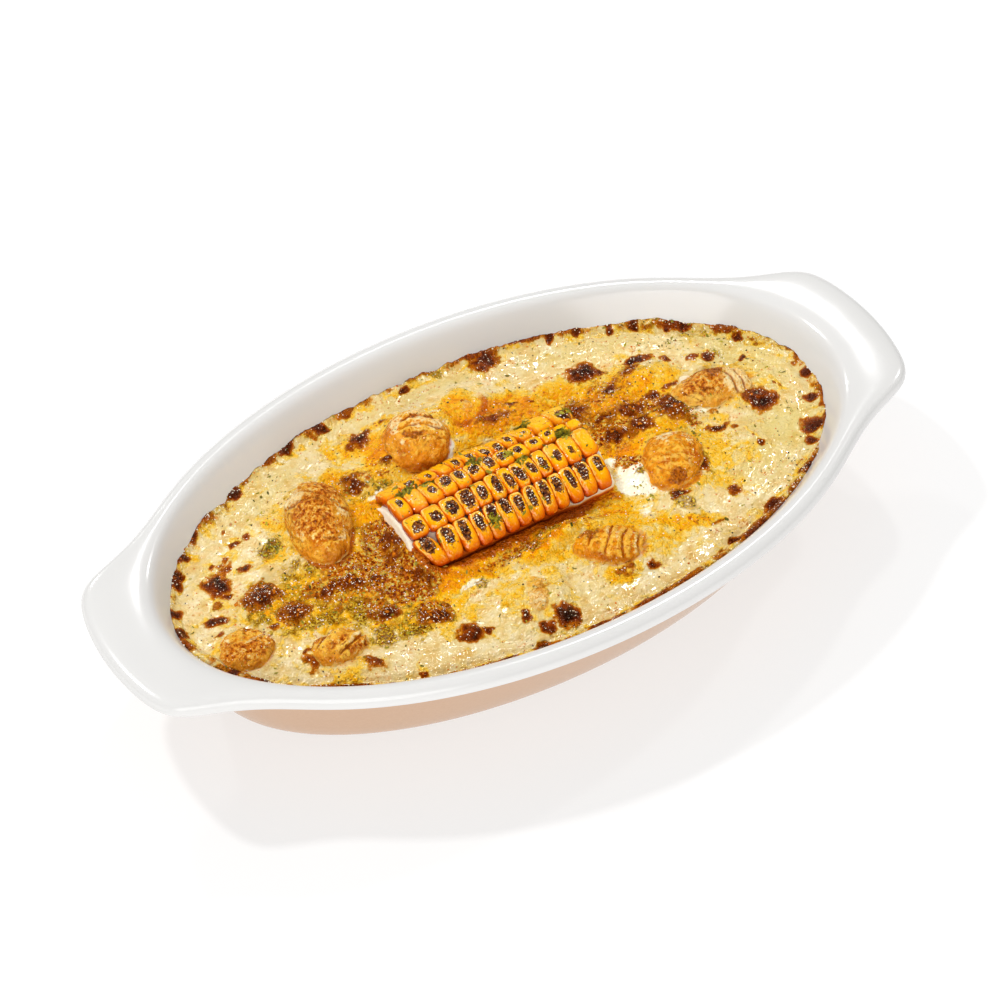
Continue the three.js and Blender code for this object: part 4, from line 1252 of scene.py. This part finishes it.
# For each row: its two edges in degrees round the cob at the left end and at the right end, where the char
# lies across it, and its kernels, each with its place along the dish and how charred it is
KERNEL_ROWS = [
    ((24, 52.5), (23, 52.5), -0.42, [
        (-28.6, 1.0), (-23.2, 0.75), (-17.8, 0.95), (-13.6, 0.95), (-9.4, 1.05), (-5.3, 1.05), (-1.2, 0.9),
        (2.9, 0.7), (7.2, 1.0), (11.1, 0.9), (14.9, 0.8), (19.6, 0.95), (24.2, 0.65),
    ]),
    ((5, 24), (-4, 23), 0.1, [
        (-29.6, 0.85), (-23.8, 0.7), (-18.3, 1.1), (-13.4, 1.1), (-8.6, 0.9), (-4.4, 1.0), (-0.2, 1.1),
        (3.4, 1.1), (7, 0.75), (10.8, 0.72), (14.9, 0.65), (19.6, 0.3), (24.6, 0.2),
    ]),
    ((-22, 5), (-15, -4), 0.0, [
        (-29.9, 0.5), (-25.2, 0.15), (-20.3, 0.55), (-15.3, 0.95), (-10.8, 0.95), (-6.4, 0.95), (-1.9, 1.0),
        (2.7, 0.9), (7.6, 0.6), (12.6, 0.55), (17.4, 0.6), (21.6, 0.2), (25.4, 0.1),
    ]),
    ((-49, -22), (-49, -15), 0.45, [
        (-28.6, 0.0), (-22.6, 0.5), (-16.8, 0.3), (-12.4, 0.15), (-8.5, 0.5), (-4.6, 0.45), (0.2, 0.7),
        (4.2, 0.6), (8, 0.6), (12.4, 0.3), (18.2, 0.2), (24.6, 0.65),
    ]),
    ((53, 66), (53, 66), 0.0, [(-26.5, 1.0)]),
]


def on_rib(along, angle, radius):
    """Points in the dish's frame, from mm along the dish, degrees round the cob and mm from its axis."""
    from_middle = along - RIB_LEFT - RIB_LENGTH / 2
    turn = np.radians(angle)
    height = radius * np.cos(turn)
    return np.stack([
        RIB_LEFT + RIB_LENGTH / 2 + from_middle * math.cos(RIB_RISE) - height * math.sin(RIB_RISE),
        COB_AXIS[0] - radius * np.sin(turn),
        COB_AXIS[1] + from_middle * math.sin(RIB_RISE) + height * math.cos(RIB_RISE),
    ], axis=1)


print("kernels in each row:", [len(row[3]) for row in KERNEL_ROWS])


# %% Kernel blank
clear_selection()
bpy.ops.mesh.primitive_cube_add(size=2, location=(0, 0, 0))
pillow = bpy.context.object
bpy.ops.object.mode_set(mode="EDIT")
bpy.ops.mesh.select_all(action="SELECT")
bpy.ops.mesh.subdivide(number_cuts=KERNEL_CUTS)
to_object_mode()
blank = points_of(pillow) * MM
blank /= (np.abs(blank) ** KERNEL_SQUARENESS).sum(axis=1, keepdims=True) ** (1 / KERNEL_SQUARENESS)
print("kernel blank:", len(blank), "points")

# %% Kernels on the cob
draws = np.random.default_rng(5)
burns = np.random.default_rng(6)
kernels = []
for row, (left_edges, right_edges, char_place, places) in enumerate(KERNEL_ROWS):
    middles = np.array([place for place, _ in places])
    halfway = (middles[1:] + middles[:-1]) / 2
    first_half = halfway[0] - middles[0] if len(halfway) else LONE_KERNEL_HALF
    last_half = middles[-1] - halfway[-1] if len(halfway) else LONE_KERNEL_HALF
    starts = np.concatenate([[middles[0] - first_half], halfway])
    stops = np.concatenate([halfway, [min(RIB_LEFT + RIB_LENGTH, middles[-1] + last_half)]])
    for number, (place, charring) in enumerate(places):
        share = (place - RIB_LEFT) / RIB_LENGTH
        # Its two edges round the cob, its rise, and its own shape between its neighbours
        low, high = (a + (b - a) * share for a, b in zip(left_edges, right_edges))
        low, high = low + draws.uniform(-0.8, 0.8), high + draws.uniform(-0.8, 0.8)
        rise = draws.uniform(-0.3, 0.3) + (1.0 if row == 3 and place > 15 else 0)
        across_row, along_cob, up = blank[:, 1], blank[:, 0], blank[:, 2]
        waist = 0.8 + 0.2 * smooth(-1, 0.6, up)
        length = stops[number] - starts[number]
        along = (starts[number] + stops[number]) / 2 + along_cob * waist * length * FILL_ALONG
        along += draws.uniform(-0.25, 0.25) * across_row
        narrowing = 0.86 + 0.14 * smooth(-1, 0.4, up)
        angle = (low + high) / 2 + across_row * narrowing * (high - low) * FILL_ACROSS
        dent = KERNEL_DENT * smooth(1, 0, np.hypot(along_cob / 0.7, across_row / 0.8)) * (up > 0)
        crown = COB_RADIUS + rise - 0.25 * across_row**2
        radius = KERNEL_ROOT + (up + 1) / 2 * (crown - KERNEL_ROOT) - dent
        if place < -26 and row in (0, 4):
            # The two lowest kernels at the left end lean out
            radius = radius - 0.9 - (row == 4)
            along = along + 2 * across_row
        kernel = pillow.copy()
        kernel.data = pillow.data.copy()
        bpy.context.scene.collection.objects.link(kernel)
        placed = on_rib(along, angle, radius)
        uneven = [hills(placed[:, 0] + placed[:, 2], placed[:, 1], 1.5, seed) for seed in (1, 2, 3)]
        placed += KERNEL_UNEVENNESS * np.stack(uneven, axis=1)
        move_points(kernel, placed)

        # The char is a blotch on the crown, larger on a more charred kernel, with a paler ring round it
        spread = 0.3 + 0.7 * charring
        wide, tall = spread * burns.uniform(0.62, 0.86), spread * burns.uniform(0.56, 0.78)
        aside, up_row = burns.uniform(-0.12, 0.12), burns.uniform(-0.14, 0.14)
        skewed = across_row - char_place - up_row + burns.uniform(-0.25, 0.25) * along_cob
        box = (np.abs((along_cob - aside) / wide) ** 2.5 + np.abs(skewed / tall) ** 2.5) ** 0.4
        paint(kernel, "char", smooth(0.05, 0.4, charring) * np.clip(1.25 - box, 0, 0.7) * (up > 0))
        paint(kernel, "ring", np.exp(-(((box - 1.02) / 0.14) ** 2)) * (up > 0) * min(1, 1.4 * charring))
        # A painted highlight along the shoulder, strongest towards the light, and painted shade: the crown
        # stays yellow while the sides, the grooves and the front of the rib go a deeper orange
        to_edge = (along_cob**4 + across_row**4) ** 0.25
        facing_light = 0.35 + 0.65 * smooth(0.3, -0.6, across_row + 0.5 * along_cob)
        paint(kernel, "edge", np.exp(-(((to_edge - 0.84) / 0.08) ** 2)) * (up > 0) * facing_light)
        paint(kernel, "crown", smooth(-0.2, 0.95, up) * (1 - 0.55 * to_edge**3))
        yellowing = 0.4 * draws.uniform(0, 1) + 0.7 * (row in (2, 3)) * smooth(-15, 25, place)
        paint(kernel, "tone", np.full(len(blank), yellowing))
        paint(kernel, "front", smooth(30, 55, angle))
        kernels.append(kernel)
bpy.data.objects.remove(pillow)
print("kernels on the cob:", len(kernels))

# %% Join the kernels
clear_selection()
for kernel in kernels:
    kernel.select_set(True)
bpy.context.view_layer.objects.active = kernels[0]
bpy.ops.object.join()
# Bending them round the cob has turned them inside out
bpy.ops.object.mode_set(mode="EDIT")
face_outwards()
to_object_mode()
corn = finish_object(bpy.context.object, "corn_kernels")
print("corn:", len(kernels), "kernels,", len(corn.data.polygons), "faces")

# %% [markdown]
# A kernel's crown is yellow, and painted shade turns its sides, the grooves and the front of the rib a deeper
# orange, with a painted highlight along the shoulder where it catches the light. The char is nearly black
# with small glints, and a broken paler ring surrounds it.

# %% Kernel finish
kernel_skin = Finish("grilled kernels", Specular_IOR_Level=0.8)
mottle = kernel_skin.noise(1.8, detail=2) - 0.5
speck = kernel_skin.noise(0.8, detail=2) - 0.5
# Painted shade: the sides, the grooves and the front of the rib go a deeper orange
crown = (kernel_skin.attribute("crown") + mottle * 0.35 - kernel_skin.attribute("front") * 0.35).clamped()
kernel_tone = kernel_skin.ramp(crown, [
    (0.0, srgb(136, 34, 0)), (0.3, srgb(202, 80, 0)), (0.58, srgb(240, 130, 0)), (0.92, srgb(255, 186, 10)),
])
yellower = (kernel_skin.attribute("tone") - 0.2 + mottle).clamped() * kernel_skin.attribute("crown")
kernel_tone = kernel_skin.mix(yellower * 0.8, kernel_tone, srgb(255, 196, 24))
char = kernel_skin.attribute("char") + speck * 0.8 + mottle * 0.4
ring = (kernel_skin.attribute("ring") * (char + 0.2) + speck * 0.7 + mottle * 0.6).between(0.3, 0.6)
kernel_tone = kernel_skin.mix(ring * 0.85, kernel_tone, srgb(255, 222, 112))
# A painted highlight along the shoulder
edge = (kernel_skin.attribute("edge") + speck * 0.9 + mottle * 0.9).between(0.4, 0.75)
kernel_tone = kernel_skin.mix(edge * 0.75, kernel_tone, srgb(255, 224, 110))
toasted_skin = (mottle * 1.1 + speck * 0.9 + kernel_skin.attribute("char") * 0.25).between(0.16, 0.4)
kernel_tone = kernel_skin.mix(toasted_skin * 0.75, kernel_tone, srgb(186, 78, 0))
charred = char.between(0.38, 0.48)
char_tone = kernel_skin.ramp((speck + mottle * 0.5 + 0.5).clamped(), [
    (0.25, srgb(36, 14, 10)), (0.45, srgb(84, 38, 20)), (0.62, srgb(150, 82, 28)), (0.78, srgb(240, 168, 60)),
])
kernel_tone = kernel_skin.mix(charred, kernel_tone, char_tone)
kernel_material = kernel_skin.set(
    Base_Color=kernel_tone,
    Roughness=0.13 + speck * 0.08,
    Normal=kernel_skin.bump(speck * (charred * 2.4 + 0.3) + mottle * 0.7, 0.8),
)
dress(corn, kernel_material)
print("kernel finish:", len(kernel_skin.tree.nodes), "nodes")
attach(corn, "root")
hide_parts("corn_rib")

# %% [markdown]
# The pith under the kernels shows at the left end and as a strip along the front. It is a cylinder that is
# cut flat below and at both sides with bisect, and remeshed to even faces, so that its points can be bent
# like the rib and made a little uneven. Sauce has soaked into its lower part.

# %% Pith
PITH_SIDES = 128
PITH_GRAIN = 0.5

clear_selection()
bpy.ops.mesh.primitive_cylinder_add(
    vertices=PITH_SIDES, radius=PITH_RADIUS * MM, depth=(RIB_LENGTH + 0.4) * MM, rotation=(0, math.pi / 2, 0)
)
pith = bpy.context.object
bpy.ops.object.transform_apply(location=True, rotation=True, scale=True)
bpy.ops.object.mode_set(mode="EDIT")
for plane_point, plane_normal in [
    ((0, 0, PITH_CUT), (0, 0, -1)),
    ((0, PITH_HALF_WIDTH, 0), (0, 1, 0)),
    ((0, -PITH_HALF_WIDTH, 0), (0, -1, 0)),
]:
    bpy.ops.mesh.select_all(action="SELECT")
    bpy.ops.mesh.bisect(
        plane_co=Vector(plane_point) * MM, plane_no=plane_normal, use_fill=True, clear_outer=True
    )
face_outwards()
to_object_mode()
remesh = pith.modifiers.new("even faces", "REMESH")
remesh.mode = "VOXEL"
remesh.voxel_size = PITH_GRAIN * MM
bpy.ops.object.modifier_apply(modifier=remesh.name)

points = points_of(pith)
along = points[:, 0] + RIB_LEFT + RIB_LENGTH / 2
angle = np.degrees(np.arctan2(-points[:, 1], points[:, 2]))
radius = np.hypot(points[:, 1], points[:, 2]) + 0.15 * rough(points[:, 0], points[:, 1] + points[:, 2], 3, 9)
placed = on_rib(along, angle, radius)
placed[:, 0] += 0.2 * rough(placed[:, 1], placed[:, 2], 3, 10)
placed[:, 0] -= np.clip(38.4 - placed[:, 2], 0, 4) * 0.3 * smooth(RIB_LEFT + 3, RIB_LEFT, placed[:, 0])
move_points(pith, placed)
print("pith:", len(placed), "points")

# %% Sauce in the pith
# It stands higher towards the front of the left end, with a painted shadow along its edge there, in the gap
# between the sauce and the pith
soaked_to = 34.8 + 9 * smooth(-6.5, -9.5, placed[:, 1]) + 0.5 * hills(placed[:, 1], placed[:, 2], 3, 13)
soaked_side = 34.5 - 3.9 * smooth(4, 12, placed[:, 0]) + 0.6 * hills(placed[:, 0], placed[:, 2], 4, 14)
soaked = np.where(placed[:, 0] < RIB_LEFT + 1.2, soaked_to, soaked_side)
paint(pith, "sauced", smooth(0.9, -0.9, placed[:, 2] - soaked))
end_shadow_line = smooth(0.6, 0.2, np.abs(placed[:, 2] - soaked_to + 0.4))
paint(pith, "line", end_shadow_line * (placed[:, 0] < RIB_LEFT + 1.2))
finish_object(pith, "corn_pith")
print("pith:", len(pith.data.polygons), "faces")

pith_finish = Finish("corn pith", Roughness=0.5)
fibre = pith_finish.noise(0.7, detail=2, stretch=(0.25, 1, 1)) - 0.5
pith_tone = pith_finish.mix((fibre + 0.5).clamped(), srgb(255, 250, 238), srgb(240, 222, 186))
soaked_in = pith_finish.attribute("sauced") + fibre * 0.6
pith_tone = pith_finish.mix(soaked_in.between(0.1, 0.5), pith_tone, srgb(246, 176, 84))
pith_tone = pith_finish.mix(soaked_in.between(0.5, 0.9), pith_tone, srgb(206, 98, 8))
# Painted shadow along the edge of the sauce on the left end
pith_tone = pith_finish.mix(pith_finish.attribute("line").between(0.3, 0.7), pith_tone, srgb(60, 26, 10))
dress(pith, pith_finish.set(Base_Color=pith_tone, Normal=pith_finish.bump(fibre, 0.2)))
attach(pith, "root")
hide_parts("corn_rib")

# %% [markdown]
# ## Herbs, pepper, chilli, baked bubbles and beads of fat
#
# Thousands of flecks lie on the food at true size: scraps of herb, ground pepper and chilli, the bubbles of
# the brown skin, and small pale beads of melted fat, which catch most of the light; their pale colour is also
# a painted highlight. Each kind is one mesh. Its shape is made once with few faces, as a list of points,
# because placing thousands of copies with operators would take minutes. The copies are laid on points of the
# food, picked at random with more of them where they lie thicker, turned to the surface and joined in one
# array.


# %% Strewing
def turned_to(normals, spins):
    """For each normal, three directions: two along the surface, turned by a spin, and the normal."""
    guide = np.tile([1.0, 0.0, 0.0], (len(normals), 1))
    guide[np.abs(normals[:, 0]) > 0.9] = (0, 1, 0)
    first = np.cross(normals, guide)
    first /= np.linalg.norm(first, axis=1, keepdims=True)
    second = np.cross(normals, first)
    cosine, sine = np.cos(spins)[:, None], np.sin(spins)[:, None]
    return first * cosine + second * sine, second * cosine - first * sine, normals


def strew(name, shape, faces, hosts, sizes, material, seed, sink=0.0, tilt=0.25):
    """Lays copies of a small shape on the hosts. Each host has its points, normals, weights and a count."""
    draw = np.random.default_rng(seed)
    spots, normals, grown = [], [], []
    for places, facing, weights, count, grow in hosts:
        picked = draw.choice(len(places), size=count, p=weights / weights.sum())
        grown += [grow] * count
        spots.append(places[picked])
        normals.append(facing[picked])
    spots, normals = np.concatenate(spots), np.concatenate(normals)
    count = len(spots)
    leaning = normals + draw.normal(0, tilt, (count, 3))
    leaning /= np.linalg.norm(leaning, axis=1, keepdims=True)
    first, second, third = turned_to(leaning, draw.uniform(0, 2 * math.pi, count))
    lengths = (sizes[0] + (sizes[1] - sizes[0]) * draw.uniform(0, 1, count) ** 2) * np.array(grown)
    widths, heights = lengths * draw.uniform(0.45, 1, count), lengths * draw.uniform(0.7, 1, count)
    stretch = np.stack([lengths, widths, heights], axis=1)
    local = shape[None] * stretch[:, None] * (1 + draw.uniform(-0.2, 0.2, (count, len(shape), 1)))
    local[..., 2] -= sink * lengths[:, None]
    world = spots[:, None] + local[..., 0:1] * first[:, None] + local[..., 1:2] * second[:, None]
    world += local[..., 2:3] * third[:, None]
    first_points = (np.arange(count) * len(shape))[:, None, None]
    all_faces = (np.array(faces)[None] + first_points).reshape(-1, len(faces[0]))
    mesh = bpy.data.meshes.new(name)
    mesh.from_pydata((world.reshape(-1, 3) * MM).tolist(), [], all_faces.tolist())
    piece = bpy.data.objects.new(name, mesh)
    bpy.context.scene.collection.objects.link(piece)
    paint(piece, "tone", np.repeat(draw.uniform(0, 1, count), len(shape)))
    dress(piece, material)
    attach(piece, "root")
    print(name + ":", count, "pieces,", len(all_faces), "faces")
    return piece


# %% Shapes of the flecks
def leaf_shape():
    """A torn scrap of leaf: a bent six-cornered plate with an edge of its own."""
    angles = np.arange(6) * math.pi / 3
    torn = np.array([1, 0.8, 1.1, 0.9, 0.7, 1.05])[:, None]
    rim = np.stack([np.cos(angles), 0.62 * np.sin(angles)], axis=1) * torn
    bend = 0.28 * rim[:, 0] ** 2 - 0.1 * rim[:, 1]
    top = np.column_stack([rim, bend + 0.1])
    bottom = np.column_stack([rim * 0.92, bend - 0.1])
    points = np.vstack([top, bottom, [[0, 0, 0.12]], [[0, 0, -0.1]]])
    faces = []
    for corner in range(6):
        after = (corner + 1) % 6
        faces += [(corner, after, 12), (after + 6, corner + 6, 13)]
        faces += [(corner, corner + 6, after + 6), (corner, after + 6, after)]
    return points, faces


def grain_shape():
    """A rounded crumb from an octahedron whose faces are split once."""
    corners = np.array([[1, 0, 0], [-1, 0, 0], [0, 1, 0], [0, -1, 0], [0, 0, 1], [0, 0, -1]], float)
    points = corners.tolist()
    faces = []
    middles = {}

    def middle(a, b):
        key = (min(a, b), max(a, b))
        if key not in middles:
            between = np.array(points[a]) + np.array(points[b])
            points.append((between / np.linalg.norm(between)).tolist())
            middles[key] = len(points) - 1
        return middles[key]

    for a, b, c in [(0, 2, 4), (2, 1, 4), (1, 3, 4), (3, 0, 4), (2, 0, 5), (1, 2, 5), (3, 1, 5), (0, 3, 5)]:
        ab, bc, ca = middle(a, b), middle(b, c), middle(c, a)
        faces += [(a, ab, ca), (ab, b, bc), (ca, bc, c), (ab, bc, ca)]
    return np.array(points), faces


leaf, leaf_faces = leaf_shape()
grain, grain_faces = grain_shape()
print("a leaf has", len(leaf_faces), "faces and a grain", len(grain_faces))


def fleck_finish(name, first, second, roughness):
    """A finish between two colours. Each fleck has its own tone."""
    fleck = Finish(name, Roughness=roughness, Specular_IOR_Level=0.25)
    shade = fleck.attribute("tone") * 0.8 + (fleck.noise(0.4, detail=1) - 0.5) * 0.6 + 0.1
    tone = fleck.mix(shade.clamped(), first, second)
    return fleck.set(Base_Color=tone, Normal=fleck.bump(fleck.noise(0.3), 0.05))


# %% Where flecks can lie
cream_points, cream_normals = surface_of(cream)
cream_points, cream_normals = cream_points[:top_count], cream_normals[:top_count]
shown = (beside_corn > 0.3).astype(float)
corn_points, corn_normals = surface_of(corn)
corn_top = ((corn_normals[:, 2] > 0.3) & (corn_points[:, 2] > 36)).astype(float)
gnocchi_surfaces = [surface_of(gnocco) for gnocco in gnocchi]
dumpling_points = np.concatenate([places for places, _ in gnocchi_surfaces])
dumpling_normals = np.concatenate([facing for _, facing in gnocchi_surfaces])
dumpling_top = ((dumpling_points[:, 2] > CREAM_LEVEL + 1) & (dumpling_normals[:, 2] > 0.2)).astype(float)
print("points for flecks:", int(shown.sum()), int(corn_top.sum()), int(dumpling_top.sum()))

# %% How thick they lie
# Clusters of herbs: middle, half length, half width, turn, strength
HERB_CLUSTERS_ON_CORN = [
    (26.5, 10.5, 2.6, 1.6, 0, 1.0), (20, 3, 1.8, 1.8, 0, 1.0), (14.6, 15, 2.4, 1.5, 0, 0.9),
    (-26, 9, 3, 1.4, 20, 0.9), (-20, 8, 2, 1.2, 0, 0.7), (-5, 8, 2, 1.6, 0, 0.6),
    (-10, -11, 1.4, 1.6, 0, 0.7), (-19, 18.5, 1.6, 1, 0, 0.9), (3.6, 5, 1.6, 1.2, 0, 0.5),
    (6, 1, 1.6, 1.2, 0, 0.5), (12, 17.6, 2, 1, 0, 0.6),
]
HERB_CLUSTERS = [
    (84, 21, 1.2, 1, 0, 1.0), (91, -10, 1.5, 0.7, 0, 1.0), (86, -12.5, 0.8, 1.6, 20, 1.0),
    (65, -22.5, 1.5, 0.8, 0, 1.0), (66, -27, 0.8, 0.7, 0, 1.0), (53.2, -35.2, 1.3, 1, 0, 1.0),
    (36, -11.6, 1.8, 1.4, 0, 1.0), (33, -16, 1.8, 2.2, 0, 0.7), (34, -20.6, 1.8, 1.2, 0, 0.7),
    (-26, 21.2, 3, 1, 0, 1.0), (-64, 17.5, 3.6, 3, 0, 0.8), (-61, 20.6, 1.8, 1.4, 0, 1.0),
    (-22, -23.8, 1.8, 1, 0, 1.0), (61, 0.5, 2, 3, 0, 0.8), (56, -6, 2, 4, 20, 0.6),
    (58, -20, 2, 2, 0, 0.4), (72, 27, 3, 3, 0, 0.3), (64, 31.3, 0.9, 0.6, 0, 1.0), (92, 1, 1, 1, 0, 0.7),
]
speckled = 0.035 + 0.05 * smooth(20, 38, y) + 0.06 * smooth(55, 80, x) + 0.03 * smooth(-10, -30, y)
herb_weights = shown * (0.5 * herby**1.5 + patches(x, y, HERB_CLUSTERS, 0.4) * 3 + speckled * 0.6)
pepper_drifts = 0.5 + 0.5 * smooth(0, 1, hills(x, y, 8, 31) + 0.5)
pepper_weights = shown * (speckled + 0.2 * herby + 0.12 * buttery) * pepper_drifts
chilli_drifts = 0.1 * smooth(0, 0.6, hills(x, y, 12, 32))
chilli_weights = shown * (0.05 + 0.2 * buttery + chilli_drifts) * (1 - 0.7 * blistered)
bubble_weights = shown * (grainy**1.5 + 0.3 * blistered * (grainy > 0.2) + 0.05 * buttery)
corn_weights = corn_top * (patches(corn_points[:, 0], corn_points[:, 1], HERB_CLUSTERS_ON_CORN, 0.5) + 0.006)

print("herb clusters:", len(HERB_CLUSTERS), "on the cream and", len(HERB_CLUSTERS_ON_CORN), "on the corn")

# %% Strew herbs, pepper and chilli
# Each host is given with how many flecks lie on it and how much larger they are there
herb_green = fleck_finish("dried herbs", srgb(66, 64, 6), srgb(186, 172, 48), 0.5)
strew("herb_flakes", leaf, leaf_faces, [
    (cream_points, cream_normals, herb_weights, 700, 1),
    (corn_points, corn_normals, corn_weights, 760, 1.35),
    (dumpling_points, dumpling_normals, dumpling_top, 50, 0.8),
], (0.22, 0.8), herb_green, 41, tilt=0.35)
pepper_black = fleck_finish("ground pepper", srgb(30, 20, 12), srgb(78, 58, 34), 0.5)
strew("pepper_specks", grain, grain_faces, [
    (cream_points, cream_normals, pepper_weights, 700, 1),
    (dumpling_points, dumpling_normals, dumpling_top, 40, 0.8),
    (corn_points, corn_normals, corn_top, 60, 1),
], (0.12, 0.34), pepper_black, 42, sink=0.2)
chilli_red = fleck_finish("ground chilli", srgb(180, 76, 0), srgb(228, 136, 16), 0.35)
strew("chilli_specks", grain, grain_faces, [
    (cream_points, cream_normals, chilli_weights, 1900, 1),
    (dumpling_points, dumpling_normals, dumpling_top, 120, 1),
], (0.12, 0.42), chilli_red, 43, sink=0.4)

# %% Strew bubbles and beads of fat
bubble_brown = fleck_finish("baked bubbles", srgb(128, 52, 6), srgb(226, 136, 24), 0.14)
bubbles = strew("crust_bubbles", grain, grain_faces, [
    (cream_points, cream_normals, bubble_weights, 600, 1),
], (0.35, 1.0), bubble_brown, 44, sink=0.62)
# Beads of clear fat stand on the brown skin and on the char, and are most of what glitters there; their pale
# colour is a painted highlight
fat_with_painted_glints = fleck_finish("beads of fat", srgb(255, 236, 200), srgb(255, 250, 240), 0.12)
on_rim = 0.5 * smooth(2.4, 0.6, from_wall)
glint_bead_weights = grainy**1.5 + 0.8 * blistered + 0.4 * herby + 0.16 * buttery + 0.06 + on_rim
glint_bead_weights *= shown
charred_points = np.empty(len(corn.data.vertices))
corn.data.attributes["char"].data.foreach_get("value", charred_points)
beads = strew("fat_beads", grain, grain_faces, [
    (cream_points, cream_normals, glint_bead_weights, 4600, 1),
    (corn_points, corn_normals, corn_top * (charred_points**2 + 0.02), 1000, 1),
    (dumpling_points, dumpling_normals, dumpling_top, 400, 0.7),
], (0.08, 0.34), fat_with_painted_glints, 45, sink=0.35, tilt=0.15)
for piece in (bubbles, beads):
    select_only(piece)
    bpy.ops.object.shade_smooth()
